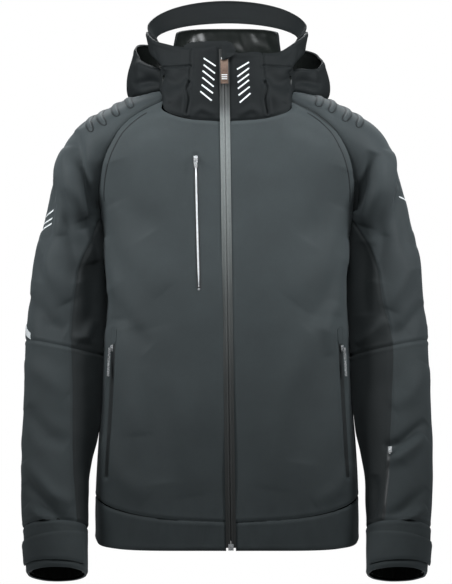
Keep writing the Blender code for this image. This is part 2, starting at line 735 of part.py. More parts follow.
def make_hood():
    """Brim and lowered crown, which lift together."""
    hinge = pivot_empty("hood_hinge", HOOD_PIVOT)
    rows = []
    for v in steps(0, 1, 3):
        right = [flip(brim_point(t, v), -1) for t in steps(101, 180, 10)]
        left = [brim_point(t, v) for t in steps(180, 101, 10)]
        rows.append(right + left[1:])
    carry(hinge, sheet("hood_brim", rows, SHELL, neck_axis))
    rows = []
    for v in steps(0, 1, 8):
        right = [flip(crown_point(t, v), -1) for t in steps(96, 180, 11)]
        left = [crown_point(t, v) for t in steps(180, 96, 11)]
        rows.append(right + left[1:])
    carry(hinge, sheet("hood_crown", rows, SHELL, crown_axis, thickness=0.0025))


def make_chin_flap():
    """Soft flap over the top end of the zip, stitched to the right collar front."""
    x, y = zip_x(0.02), front_y(0.02)
    outline = ((0.034, -0.010, 0.006), (0.024, -0.010, 0.012), (0.013, -0.009, 0.012), (0.0065, -0.006, 0.005))
    rows = []
    for z, low, high in outline:
        rows.append([(x + w, front_y(z) - FLAP_LIFT, z) for w in steps(low, high, 4)])
    flap = sheet("chin_flap", rows, SHELL, lambda c: (x, y + 0.1, c.z), thickness=0.002)
    carry(pivot_empty("chin_flap_hinge", (x - 0.0115, y - 0.0055, 0.02)), flap)


def make_hang_loop():
    """Corded loop inside the back of the collar; the origin lies under its top."""
    line = bpy.data.curves.new("hang_loop", "CURVE")
    line.dimensions = "3D"
    line.bevel_depth = 0.0014
    line.bevel_resolution = 2
    line.use_fill_caps = True
    spline = line.splines.new("POLY")
    turns = steps(0, math.pi, 13)
    spline.points.add(len(turns) - 1)
    for point, turn in zip(spline.points, turns):
        swell = math.sin(turn)
        point.co = (0.026 * math.cos(turn), -0.0005 - 0.002 * swell, -0.0096 + 0.0112 * swell ** 0.5, 1)
    piece = bpy.data.objects.new("hang_loop", line)
    line.materials.append(material("hang_loop", LINING, 0.8))
    parts.objects.link(piece)


def make_side(sign):
    """Everything that comes once on each side."""
    make_front_panel(sign)
    make_side_panel(sign)
    make_hem_fronts(sign)
    make_yoke(sign)
    make_cap(sign)
    elbow_x = (sleeve_outer(ELBOW_Z) + sleeve_inner(ELBOW_Z)) / 2
    shoulder = pivot_empty(side_name("shoulder_hinge", sign), flip(SHOULDER_PIVOT, sign))
    elbow_place = flip((elbow_x, sleeve_mid_y(ELBOW_Z), ELBOW_Z), sign)
    elbow = pivot_empty(side_name("elbow_hinge", sign), elbow_place, shoulder)
    make_sleeve(sign, shoulder, elbow)
    tab = pivot_empty(side_name("cuff_tab_hinge", sign), strap_hinge(sign), elbow)
    carry(tab, make_cuff_strap(sign))
    suffix = side_name("", sign)
    make_pocket_zip("hand", suffix, sign, HAND_ZIP, 0.0040, 0.0440)
    make_pocket_bag("hand_pocket_bag" + suffix, sign, -0.640, -0.420, 0.40, 0.86)
    if sign > 0:
        make_forearm_zip(elbow)


def main():
    for piece in list(bpy.data.objects):
        bpy.data.objects.remove(piece, do_unlink=True)
    for sign in (-1, 1):
        make_side(sign)
    make_back_panel()
    make_hem_back()
    make_lining()
    make_main_zip()
    make_pocket_zip("chest", "", -1, CHEST_ZIP, 0.0030, 0.0140)
    make_pocket_bag("chest_pocket_bag", -1, -0.350, -0.160, 0.16, 0.52)
    make_collar()
    make_hood()
    make_chin_flap()
    make_hang_loop()


parts = bpy.data.collections.new("ski_jacket")
bpy.context.scene.collection.children.link(parts)
main()
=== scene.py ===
"""Looks of the ski jacket: stretch-fabric shell, zips, reflective film and studio."""
import json
import math

import bmesh
import bpy
import numpy as np
from mathutils import Matrix, Vector


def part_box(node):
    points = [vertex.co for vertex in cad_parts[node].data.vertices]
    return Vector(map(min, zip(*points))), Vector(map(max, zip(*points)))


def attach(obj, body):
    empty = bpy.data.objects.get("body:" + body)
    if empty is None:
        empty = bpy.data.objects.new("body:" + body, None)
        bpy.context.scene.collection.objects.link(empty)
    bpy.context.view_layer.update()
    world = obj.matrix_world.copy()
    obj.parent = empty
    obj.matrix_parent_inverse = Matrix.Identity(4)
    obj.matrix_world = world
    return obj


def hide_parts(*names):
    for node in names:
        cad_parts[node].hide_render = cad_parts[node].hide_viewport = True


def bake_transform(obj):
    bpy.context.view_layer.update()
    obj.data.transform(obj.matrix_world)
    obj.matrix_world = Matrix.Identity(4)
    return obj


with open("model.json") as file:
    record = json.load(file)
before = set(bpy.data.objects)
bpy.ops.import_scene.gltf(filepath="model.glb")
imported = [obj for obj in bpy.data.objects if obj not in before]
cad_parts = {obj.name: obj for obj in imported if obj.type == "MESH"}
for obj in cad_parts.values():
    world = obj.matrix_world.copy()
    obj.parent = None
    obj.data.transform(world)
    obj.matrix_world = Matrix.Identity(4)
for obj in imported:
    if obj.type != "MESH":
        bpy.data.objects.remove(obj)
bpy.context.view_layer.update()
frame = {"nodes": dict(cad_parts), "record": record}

# Driving places, turns and shares, most of them those of the CAD model; lengths in metres
ARMPIT_Z = -0.262
SEAM_TOP_Z = -0.055
ELBOW_SEAM_Z = -0.430
CUFF_Z = -0.769
CUFF_SEAM_Z = -0.700
MID_Y = -0.060
FRONT_Y = -0.165
FRONT_SLOPE = 0.062
ZIP_TOP_Z = -0.089
ZIP_X = -0.003
ZIP_SLOPE = 0.014
WIDTH_POWER = 0.82
DEPTH_POWER = 0.68
FRONT_TURN = 65.0
SIDE_TURN = 115.0
SIDE_SPLIT = 0.935
FABRIC = 0.0022
TWO_PI = 6.283


class Profile:
    """A smooth curve through a few (place, value) keys, level beyond its ends. Works on arrays."""

    def __init__(self, *keys):
        keys = sorted(keys)
        self.places = np.array([place for place, _ in keys], float)
        self.values = np.array([value for _, value in keys], float)
        self.slopes = np.gradient(self.values, self.places)

    def __call__(self, place):
        place = np.clip(place, self.places[0], self.places[-1])
        step = np.clip(np.searchsorted(self.places, place) - 1, 0, len(self.places) - 2)
        width = self.places[step + 1] - self.places[step]
        t = (place - self.places[step]) / width
        low = (1 + 2 * t) * (1 - t) ** 2 * self.values[step] + t * (1 - t) ** 2 * width * self.slopes[step]
        high = t * t * (3 - 2 * t) * self.values[step + 1] + t * t * (t - 1) * width * self.slopes[step + 1]
        return low + high


def millimetres(*keys):
    """A profile with its places and values given in millimetres."""
    return Profile(*metres(keys))


def metres(path):
    """Pairs of millimetres in metres."""
    return [(first / 1000, second / 1000) for first, second in path]


seam_x = millimetres((-55, 92), (-73, 130), (-94, 157), (-124, 177), (-154, 188), (-192, 193), (-229, 190),
                     (-262, 183))
ridge_x = millimetres((-55, 102), (-73, 151), (-94, 192), (-124, 224), (-154, 246), (-192, 263),
                      (-229, 273), (-262, 281))
ridge_z = millimetres((-55, -40), (-73, -53), (-94, -72), (-124, -92), (-154, -120), (-192, -170),
                      (-229, -207), (-262, -243))
seam_angle = Profile((-0.055, 90), (-0.094, 95), (-0.124, 102), (-0.154, 112), (-0.192, 130), (-0.229, 153),
                     (-0.262, 180))
cap_depth = millimetres((-55, 40), (-73, 60), (-94, 74), (-154, 80), (-192, 74), (-229, 68), (-262, 62))
sleeve_mid_y = millimetres((-55, -78), (-94, -67), (-154, -60), (-420, -60), (-520, -78), (-640, -112),
                           (-769, -151))
sleeve_outer = millimetres((-262, 281), (-290, 290), (-357, 299), (-414, 305), (-470, 308), (-558, 311),
                           (-658, 310), (-715, 306), (-769, 301))
sleeve_inner = millimetres((-262, 183), (-300, 181.5), (-357, 181), (-414, 183.8), (-472, 187), (-516, 190),
                           (-558, 194), (-585, 200), (-612, 206), (-675, 209), (-769, 209))
sleeve_depth = millimetres((-262, 62), (-357, 63), (-430, 62), (-560, 56), (-700, 51), (-769, 49))
sleeve_tilt = Profile((-0.262, 11), (-0.300, 7), (-0.340, 3), (-0.400, 0), (CUFF_Z, 0))
sleeve_rise = millimetres((-262, 9.5), (-300, 6), (-340, 2.5), (-400, 0), (-769, 0))
sleeve_lean = Profile((-0.262, 0), (-0.400, 0), (-0.470, 11), (-0.540, 16), (CUFF_Z, 17))
torso_half = millimetres((-262, 183), (-300, 182), (-357, 181.5), (-414, 184.5), (-472, 187.5),
                         (-516, 190.3), (-558, 194), (-636, 199), (-731, 201))
back_y = millimetres((-22, 10), (-60, 36), (-100, 58), (-160, 77), (-250, 86), (-400, 80), (-560, 79),
                     (-731, 84))
row_turn = Profile((-0.022, 58), (-0.055, 58), (-0.124, 66), (-0.192, 78), (-0.262, 90), (-0.731, 90))
front_neck_z = Profile((0.0, -0.089), (0.25, -0.085), (0.45, -0.078), (0.70, -0.068), (1.0, -0.055))
back_neck_z = Profile((0.0, -0.022), (0.30, -0.024), (0.65, -0.034), (1.0, -0.055))
hem_seam_z = Profile((0.0, -0.688), (0.30, -0.683), (0.60, -0.672), (0.85, -0.660), (1.0, -0.652))
hem_z = Profile((0.0, -0.731), (0.60, -0.730), (0.85, -0.725), (1.0, -0.717))


def points_of(x, y, z):
    """One array of points from three arrays of coordinates."""
    return np.stack(np.broadcast_arrays(x, y, z), -1)


def zip_x(z):
    return ZIP_X + ZIP_SLOPE * (ZIP_TOP_Z - z)


def front_y(z):
    return FRONT_Y - FRONT_SLOPE * (ZIP_TOP_Z - z)


def sleeve_frame(level):
    """Middle, outward reach and depth of a sleeve ring: an open arch above the armpit, a ring below it."""
    open_part = level >= ARMPIT_Z
    reach = np.cos(np.radians(seam_angle(level)))
    share = 1 / (1 - np.where(open_part, reach, 0.0))
    centre_x = np.where(open_part, (seam_x(level) - ridge_x(level) * reach) * share,
                        (sleeve_outer(level) + sleeve_inner(level)) / 2)
    centre_z = np.where(open_part, (level - ridge_z(level) * reach) * share, level + sleeve_rise(level))
    half = (sleeve_outer(level) - sleeve_inner(level)) / 2
    out_x = np.where(open_part, ridge_x(level) - centre_x, half)
    out_z = np.where(open_part, ridge_z(level) - centre_z, half * np.tan(np.radians(sleeve_tilt(level))))
    return centre_x, centre_z, out_x, out_z


def sleeve_surface(level, turn, inset=0.0):
    """Left sleeve. turn 0 is the outer ridge, 90 the front, -90 the back, 180 the inner side."""
    level, turn = np.broadcast_arrays(level, turn)
    angle = np.radians(turn)
    centre_x, centre_z, out_x, out_z = sleeve_frame(level)
    open_part = level >= ARMPIT_Z
    shrink = 1 - inset / np.maximum(np.hypot(out_x, out_z), 0.02)
    depth = np.where(open_part, cap_depth(level), sleeve_depth(level)) - inset
    lean = np.where(open_part, 0.0, np.radians(sleeve_lean(level)))
    forward = depth * np.sin(angle)
    return points_of(centre_x + out_x * shrink * np.cos(angle),
                     sleeve_mid_y(level) - forward * np.cos(lean),
                     centre_z + out_z * shrink * np.cos(angle) + forward * np.sin(lean))


def torso_surface(z, across, side, sign=1, inset=0.0):
    """Torso: side 1 in front and -1 behind, sign 1 the wearer's left, across 0 to 1 from the middle."""
    z, across = np.broadcast_arrays(z, across)
    upper = z >= ARMPIT_Z
    depth = cap_depth(z) * np.sin(np.radians(seam_angle(z)))
    end_x = np.where(upper, seam_x(z), torso_half(z)) - inset
    end_y = np.where(upper, sleeve_mid_y(z) - side * depth, MID_Y)
    turn = np.radians(np.minimum(row_turn(z), 89.9))
    start_x = zip_x(z) if side > 0 else 0.0 * z
    start_y = front_y(z) if side > 0 else back_y(z)
    swing = across * turn
    share = (np.sin(swing) / np.sin(turn)) ** WIDTH_POWER
    drop = (1 - np.cos(swing) ** DEPTH_POWER) / (1 - np.cos(turn) ** DEPTH_POWER)
    x = sign * start_x + (end_x - sign * start_x) * share
    y = start_y + (end_y - start_y) * drop + side * inset * (1 - drop)
    return points_of(sign * x, y, z)


def neck_ring(turn):
    """Neck seam: 0 at the front, 90 over the shoulder, 180 at the back."""
    front = np.clip(turn / FRONT_TURN, 0, 1)
    side = np.clip((turn - FRONT_TURN) / (SIDE_TURN - FRONT_TURN), 0, 1)
    back = np.clip((180 - turn) / (180 - SIDE_TURN), 0, 1)
    ring = np.where((turn <= FRONT_TURN)[..., None], torso_surface(front_neck_z(front), front, 1),
                    sleeve_surface(np.full_like(side, SEAM_TOP_Z), 90 - 180 * side))
    return np.where((turn > SIDE_TURN)[..., None], torso_surface(back_neck_z(back), back, -1), ring)


edge_x = Profile((0, -0.003), (20, 0.037), (40, 0.072), (60, 0.104), (80, 0.118), (100, 0.121))
edge_y = Profile((0, -0.1576), (20, -0.152), (40, -0.131), (60, -0.096), (80, -0.062), (100, -0.035))
edge_z = Profile((0, 0.028), (20, 0.018), (40, 0.020), (60, 0.034), (80, 0.046), (100, 0.052))


collar_pinch = Profile((0.0, 0.0), (0.18, 0.0030), (0.35, 0.0070), (0.46, 0.0115), (0.53, 0.0065),
                       (0.61, -0.0010), (0.80, -0.0040), (1.0, -0.0045))


def collar_surface(turn, height, inset=0.0):
    turn, height = np.broadcast_arrays(turn * 1.0, height)
    low = neck_ring(turn)
    high = points_of(edge_x(turn), edge_y(turn), edge_z(turn))
    waist = collar_pinch(height) * np.sin(np.radians(np.minimum(turn, 90))) ** 3
    out = points_of(np.sin(np.radians(turn)), -np.cos(np.radians(turn)), 0.0)
    return low + (high - low) * height[..., None] - out * (waist + inset)[..., None]


def back_collar_surface(turn, height):
    turn, height = np.broadcast_arrays(turn * 1.0, height)
    low = neck_ring(turn) * np.array([0.93, 1, 1]) + np.array([0, -0.003, 0.004])
    swing = np.radians(turn)
    top_z = 0.059 - 0.016 * (1 + np.cos(swing)) ** 1.5
    high = points_of(0.084 * np.sin(swing), -0.072 - 0.080 * np.cos(swing), top_z)
    return low + (high - low) * height[..., None]


def brim_surface(turn, height):
    turn, height = np.broadcast_arrays(turn * 1.0, height)
    swing = np.radians(turn)
    rise = np.sin((turn - 90) / 90 * math.pi / 2)
    tuck = 1 - 0.06 * np.clip((100 - turn) / 30, 0, 1)
    top = points_of(0.124 * tuck * np.sin(swing), -0.040 - 0.104 * np.cos(swing), 0.054 + 0.051 * rise)
    low = points_of(0.112 * tuck * np.sin(swing), -0.040 - 0.098 * np.cos(swing), 0.036 + 0.034 * rise)
    return low + (top - low) * height[..., None]


# Turn in degrees, then the place in millimetres, on four lines from the rim inwards
CROWN_KEYS = {
    "rim": ((92, (93, -78, -10)), (104, (128, -46, 6)), (116, (142, -6, 26)),
            (136, (126, 56, 38)), (158, (74, 103, 26)), (180, (0, 118, 26))),
    "side": ((92, (98, -83, -22)), (104, (140, -50, -14)), (116, (147, -4, -6)),
             (136, (137, 68, -16)), (158, (80, 112, -24)), (180, (0, 127, -25))),
    "floor": ((92, (104, -83, -44)), (104, (152, -50, -60)), (116, (177, -2, -78)),
              (136, (134, 62, -82)), (158, (74, 104, -88)), (180, (0, 116, -90))),
    "root": ((92, (96, -66, -40)), (104, (118, -32, -38)), (116, (116, 6, -36)),
             (136, (86, 36, -32)), (158, (48, 50, -26)), (180, (0, 54, -24))),
}
CROWN_LINES = {
    name: [Profile(*[(turn, point[axis] / 1000) for turn, point in keys]) for axis in range(3)]
    for name, keys in CROWN_KEYS.items()
}


def crown_surface(turn, depth):
    turn, depth = np.broadcast_arrays(turn * 1.0, depth)
    a, b, c, d = [points_of(*[line(turn) for line in lines]) for lines in CROWN_LINES.values()]
    t = depth[..., None]
    return a * (1 - t) ** 3 + 3 * b * t * (1 - t) ** 2 + 3 * c * t * t * (1 - t) + d * t ** 3


# ---------------------------------------------------------------- materials
def set_inputs(node, inputs):
    """Set a node's inputs to values, or link them from output sockets."""
    for name, value in inputs.items():
        if isinstance(value, bpy.types.NodeSocket):
            node.id_data.links.new(value, node.inputs[name])
        else:
            node.inputs[name].default_value = value


def add_node(tree, kind, inputs, output=0, **settings):
    """Add a shader node and give the output socket that is used."""
    node = tree.nodes.new("ShaderNode" + kind)
    for name, value in settings.items():
        setattr(node, name, value)
    set_inputs(node, inputs)
    return node.outputs[output]


def add_ramp(tree, source, stops):
    """Colours at rising places along a value."""
    ramp = add_node(tree, "ValToRGB", {"Fac": source}, "Color")
    elements = ramp.node.color_ramp.elements
    for _ in stops[2:]:
        elements.new(0.5)
    for element, (position, _) in zip(elements, stops):
        element.position = position
    for element, (_, colour) in zip(elements, stops):
        element.color = (*colour, 1)
    return ramp


def two_tones(tree, source, colour, spread, margin):
    """A darker and a lighter tone of a colour, blended by a value."""
    tones = [[min(channel * share, 1.0) for channel in colour] for share in (1 - spread, 1 + spread)]
    return add_ramp(tree, source, [(margin, tones[0]), (1 - margin, tones[1])])


def new_material(name, slot):
    """A material that knows its slot, with its node tree, its shader and its object coordinates."""
    finish = bpy.data.materials.new(name)
    finish.use_nodes = True
    finish["slot"] = slot
    tree = finish.node_tree
    return finish, tree, shader_of(finish), add_node(tree, "TexCoord", {}, "Object")


def shader_of(finish):
    return finish.node_tree.nodes["Principled BSDF"]


def paint_light_by_height(finish, stops, low=-0.73, high=0.02):
    """Multiply a finish's colour by a grey that changes with height: painted light and shade."""
    tree = finish.node_tree
    colour = shader_of(finish).inputs["Base Color"]
    place = add_node(tree, "TexCoord", {}, "Object")
    height = add_node(tree, "SeparateXYZ", {"Vector": place}, "Z")
    reach = add_node(tree, "MapRange", {"Value": height, "From Min": low, "From Max": high}, "Result")
    grey = add_ramp(tree, reach, [(position, (tone, tone, tone)) for position, tone in stops])
    inputs = {"Fac": 1.0, "Color1": colour.links[0].from_socket, "Color2": grey}
    tree.links.new(add_node(tree, "MixRGB", inputs, "Color", blend_type="MULTIPLY"), colour)


WEAVE_TURN = 0.6
CLOUD_SCALE = 14.0
MOTTLE = 0.10


def fabric_material(name, slot, colour, sheen=0.10, roughness=0.72, weave=1500.0, bump=0.35, specular=0.30):
    """Stretch softshell: fine crossed weave, mottled tone and a soft sheen."""
    finish, tree, shader, place = new_material(name, slot)
    threads = {}
    for number, turn in enumerate((WEAVE_TURN, -WEAVE_TURN)):
        spin = add_node(tree, "Mapping", {"Vector": place, "Rotation": (0.0, turn, 0.0)}, "Vector")
        wave = {"Vector": spin, "Scale": weave / 6.28, "Distortion": 0.6, "Detail": 1.0}
        threads[number] = add_node(tree, "TexWave", wave, "Fac", wave_type="BANDS", bands_direction="X")
    crossed = add_node(tree, "Math", threads, operation="MULTIPLY")
    grain = add_node(tree, "TexNoise", {"Vector": place, "Scale": 420.0, "Detail": 4.0}, "Fac")
    both = add_node(tree, "Math", {0: crossed, 1: grain}, operation="ADD")
    cloud = add_node(tree, "TexNoise", {"Vector": place, "Scale": CLOUD_SCALE, "Detail": 6.0,
                                        "Roughness": 0.65}, "Fac")
    mix = {"Fac": 0.22, "Color1": two_tones(tree, cloud, colour, MOTTLE, 0.30), "Color2": both}
    rough = {"Value": grain, "To Min": roughness - 0.07, "To Max": roughness + 0.07}
    set_inputs(shader, {
        "Base Color": add_node(tree, "MixRGB", mix, "Color", blend_type="MULTIPLY"),
        "Roughness": add_node(tree, "MapRange", rough, "Result"),
        "Normal": add_node(tree, "Bump", {"Strength": bump, "Distance": 0.00025, "Height": both}, "Normal"),
        "Specular IOR Level": specular,
        "Sheen Weight": sheen,
        "Sheen Roughness": 0.45,
        "Sheen Tint": (0.80, 0.90, 0.95, 1),
    })
    return finish


def hard_material(name, slot, colour, roughness, metallic, grain_scale=300.0, bump=0.1, wear=0.15):
    """Metal, film or coated plastic with a fine uneven finish."""
    finish, tree, shader, place = new_material(name, slot)
    grain = add_node(tree, "TexNoise", {"Vector": place, "Scale": grain_scale, "Detail": 5.0}, "Fac")
    rough = {"Value": grain, "To Min": max(roughness - 0.08, 0.05), "To Max": roughness + 0.10}
    set_inputs(shader, {
        "Base Color": two_tones(tree, grain, colour, wear, 0.35),
        "Roughness": add_node(tree, "MapRange", rough, "Result"),
        "Normal": add_node(tree, "Bump", {"Strength": bump, "Distance": 0.0002, "Height": grain}, "Normal"),
        "Metallic": metallic,
    })
    return finish


SHELL = fabric_material("softshell", "shell", (0.0388, 0.0480, 0.0505))
# Shoulder and upper sleeve fabric with its own weave, made darker than the shell as painted shade against the
# light from above
SHADED_SHOULDER = fabric_material("softshell_shoulder_painted_shade", "shoulder", (0.0345, 0.0425, 0.0450), weave=1200.0)
# Collar and hood fabric made far darker than the shell: painted shade of the collar's folds
SHADED_COLLAR = fabric_material("softshell_collar_painted_shade", "shell", (0.0068, 0.0090, 0.0098), sheen=0.0, specular=0.20)
# Darker copy of the shell for the torso sides and the under sides of the sleeves: painted shade where the
# torso and arms keep the light off
SHADED_SIDE = fabric_material("softshell_painted_shade", "side", (0.019, 0.023, 0.024), sheen=0.06)
LINING = fabric_material("lining", "lining", (0.011, 0.013, 0.012), sheen=0.0, roughness=0.24, weave=2400.0,
                         bump=0.15)
BINDING = fabric_material("binding", "shell", (0.0095, 0.0120, 0.0130), sheen=0.1, weave=1800.0)
TAPE = hard_material("zip_coating", "tape", (0.190, 0.207, 0.203), 0.50, 0.0, 260.0, 0.10, 0.05)
# Painted reflection on the coated tape: brightest across the upper chest, with painted shade towards the
# collar and the hem
paint_light_by_height(TAPE, ((0.0, 0.09), (0.32, 0.13), (0.50, 0.30), (0.80, 1.0), (0.860, 0.80),
                      (0.885, 0.28), (0.92, 0.10)))
TAPE_DARK = hard_material("zip_coating_dark", "tape", (0.020, 0.023, 0.024), 0.45, 0.0, 160.0, 0.15)
COIL = hard_material("zip_coil", "metal", (0.78, 0.79, 0.80), 0.32, 0.25, 500.0, 0.1)
METAL = hard_material("slider_metal", "metal", (0.66, 0.67, 0.68), 0.26, 0.60, 700.0, 0.08)
COPPER = hard_material("puller_copper", "copper", (0.150, 0.098, 0.074), 0.40, 0.45, 420.0, 0.15)
FILM = hard_material("reflective_film", "", (0.80, 0.83, 0.84), 0.42, 0.0, 900.0, 0.2, 0.06)


# ---------------------------------------------------------------- mesh helpers
def spaced(count, fine=5, share=0.02):
    """0 to 1 with closer steps at both ends, where panels roll into their seams."""
    ends = np.linspace(0, share, fine + 1)[:-1]
    middle = np.linspace(share, 1 - share, count)
    return np.concatenate([ends, middle, 1 - ends[::-1]])


def grid_normals(points, closed):
    """Normals of a grid of points, from its rows and columns."""
    down = np.gradient(points, axis=0)
    if closed:
        wide = np.roll(points, -1, axis=1) - np.roll(points, 1, axis=1)
    else:
        wide = np.gradient(points, axis=1)
    normal = np.cross(wide, down)
    return normal / np.maximum(np.linalg.norm(normal, axis=-1, keepdims=True), 1e-9)


def edge_distance(points, axis, end):
    """Length along the rows or columns of a grid from one of its borders."""
    step = np.linalg.norm(np.diff(points, axis=axis), axis=-1)
    pad = [(0, 0), (0, 0)]
    pad[axis] = (1, 0)
    run = np.cumsum(np.pad(step, pad), axis=axis)
    if end:
        run = np.take(run, [-1], axis=axis) - run
    return run


def outward(points, closed, middle):
    """Grid normals turned away from a middle line."""
    normal = grid_normals(points, closed)
    if np.mean(np.sum(normal * (points - middle), -1)) < 0:
        normal = -normal
        return normal, True
    return normal, False


def rolled(points, borders, depth, width=0.0022):
    """Sink a panel's borders, as fabric turns in at a seam."""
    height = np.zeros(points.shape[:2])
    for axis, end, *own in borders:
        run = edge_distance(points, axis, end)
        sink = own[0] if own else depth
        height -= sink * np.exp(-(run / width) ** 2)
        height += sink * 0.25 * np.exp(-((run - 2.6 * width) / width) ** 2)
    return height


def make_shell(name, points, normal, flipped, materials, thickness=FABRIC, closed=False, zones=None):
    """A closed fabric shell from an outer grid, with its lining side as the second material."""
    rows, columns = points.shape[:2]
    inner = points - normal * thickness
    vertices = np.concatenate([points.reshape(-1, 3), inner.reshape(-1, 3)])
    number = np.arange(rows * columns).reshape(rows, columns)
    right = np.roll(number, -1, axis=1) if closed else number[:, 1:]
    left = number if closed else number[:, :-1]
    outer = np.stack([left[:-1], right[:-1], right[1:], left[1:]], -1).reshape(-1, 4)
    count = rows * columns
    if zones is None:
        zone = np.zeros(len(outer), int)
    else:
        corner = zones if closed else zones[:, :-1]
        zone = corner[:-1].reshape(-1).astype(int)
    lined = outer[:, ::-1] + count
    rims = []
    for line, turned in ((number[0], False), (number[-1], True)):
        a = line
        b = np.roll(line, -1)
        if not closed:
            a, b = line[:-1], line[1:]
        quad = np.stack([b, a, a + count, b + count], -1)
        rims.append(quad[:, ::-1] if turned else quad)
    if not closed:
        for line, turned in ((number[:, 0], True), (number[:, -1], False)):
            a, b = line[:-1], line[1:]
            quad = np.stack([b, a, a + count, b + count], -1)
            rims.append(quad[:, ::-1] if turned else quad)
    faces = np.concatenate([outer, lined] + rims)
    index = np.concatenate([zone, np.full(len(lined), len(materials) - 1),
                            np.zeros(len(faces) - 2 * len(outer), int)])
    if flipped:
        faces = faces[:, ::-1]
    mesh = bpy.data.meshes.new(name)
    mesh.from_pydata(vertices.tolist(), [], faces.tolist())
    for finish in materials:
        mesh.materials.append(finish)
    mesh.polygons.foreach_set("material_index", index.astype(np.int32))
    mesh.shade_smooth()
    mesh.set_sharp_from_angle(angle=math.radians(60))
    mesh.update()
    piece = bpy.data.objects.new(name, mesh)
    bpy.context.scene.collection.objects.link(piece)
    return piece


def panel(name, points, middle, materials, borders=(), relief=None, thickness=FABRIC, closed=False,
          zones=None, roll=0.0016):
    """Roll a grid's borders, add its folds and make the shell. The middle is points inside, or gives them."""
    middle = middle(points) if callable(middle) else middle
    normal, flipped = outward(points, closed, middle)
    height = rolled(points, borders, roll)
    if relief is not None:
        height = height + relief(points)
    moved = points + normal * height[..., None]
    final, flipped = outward(moved, closed, middle)
    return make_shell(name, moved, final, flipped, materials, thickness, closed, zones)


def strip_piece(name, points, middle, materials, thickness, body, closed=False):
    """A thin shell laid down as it is, without rolled borders or folds."""
    normal, flipped = outward(points, closed, middle)
    piece = make_shell(name, points, normal, flipped, materials, thickness, closed)
    if body:
        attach(piece, body)
    return piece


def settle(piece, body, *nodes):
    """Put a piece on its body, in place of the CAD nodes it stands for."""
    if body:
        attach(piece, body)
    for node in nodes:
        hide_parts(node)
    return piece


BEHIND = np.array([0, 0.1, 0])
ALL_BORDERS = ((0, False), (0, True), (1, False), (1, True))
# Axis, whether it is the far border, and where it differs how deep it rolls in
BODY_BORDERS = ((0, False, 0.0010), (0, True, 0.0011), (1, False, 0.0008), (1, True, 0.0005))


def along_path(x, z, path):
    """Distance from a path in the front plane, and the share of its length, for every point."""
    best = np.full(x.shape, 9.0)
    share = np.zeros(x.shape)
    lengths = [math.dist(a, b) for a, b in zip(path, path[1:])]
    total = sum(lengths)
    done = 0.0
    for (ax, az), (bx, bz), length in zip(path, path[1:], lengths):
        t = ((x - ax) * (bx - ax) + (z - az) * (bz - az)) / length ** 2
        t = np.clip(t, 0, 1)
        gap = np.hypot(x - ax - t * (bx - ax), z - az - t * (bz - az))
        near = gap < best
        best = np.where(near, gap, best)
        share = np.where(near, (done + t * length) / total, share)
        done += length
    return best, share


def fold(x, z, path, width, height):
    """A soft ridge, or a valley if height is negative, fading out at both ends of its path."""
    gap, share = along_path(x, z, path)
    fade = np.clip(4 * share * (1 - share), 0, 1) ** 0.6
    return height * np.exp(-(gap / width) ** 2) * fade


def groove(x, z, path, width, depth):
    """A stitched seam: a narrow valley with a slight welt on each side."""
    gap, _ = along_path(x, z, path)
    return -depth * np.exp(-(gap / width) ** 2) + depth * 0.35 * np.exp(-((gap - 2.4 * width) / width) ** 2)


def ripple(points, seed, size, height):
    """Soft unevenness of hanging fabric, a sum of slanted waves from a seeded draw."""
    draw = np.random.default_rng(seed)
    total = np.zeros(points.shape[:-1])
    for _ in range(7):
        direction = draw.normal(size=3)
        direction /= np.linalg.norm(direction)
        wave = draw.uniform(0.6, 1.6) / size
        start = draw.uniform(0, TWO_PI)
        total += np.sin(points @ direction * wave * TWO_PI + start) * draw.uniform(0.3, 1.0)
    return height * total / 3.5


# ---------------------------------------------------------------- torso
def side_sign(sign):
    return "left" if sign > 0 else "right"


def torso_middle(points):
    return points_of(0.0 * points[..., 0], MID_Y, points[..., 2])


# Half the width left open for the zip
ZIP_EDGE = 0.0072


def front_start(z, sign):
    """Share of a front row at which the panel starts, beside the zip."""
    upper = z >= ARMPIT_Z
    end_x = np.where(upper, seam_x(z), torso_half(z))
    turn = np.radians(np.minimum(row_turn(z), 89.9))
    return np.arcsin((ZIP_EDGE / (end_x - sign * zip_x(z))) ** (1 / WIDTH_POWER) * np.sin(turn)) / turn


def row_limit(z):
    reach = np.clip((z - ARMPIT_Z) / 0.020, 0, 1)
    return SIDE_SPLIT + (0.9995 - SIDE_SPLIT) * reach


CHEST_ZIP = ((-0.047, -0.140), (-0.042, -0.340))


def hand_zip_path(sign):
    return [(sign * 0.1700, -0.404), (sign * 0.1755, -0.520), (sign * 0.1815, -0.623)]


def fold_sum(folds, depth=1.0, shape=fold):
    """All folds or grooves of a table: path, width and height in millimetres."""
    def total(x, z):
        rows = [(metres(path), width / 1000, height / 1000) for path, width, height in folds]
        return depth * sum(shape(x, z, *row) for row in rows)

    return total


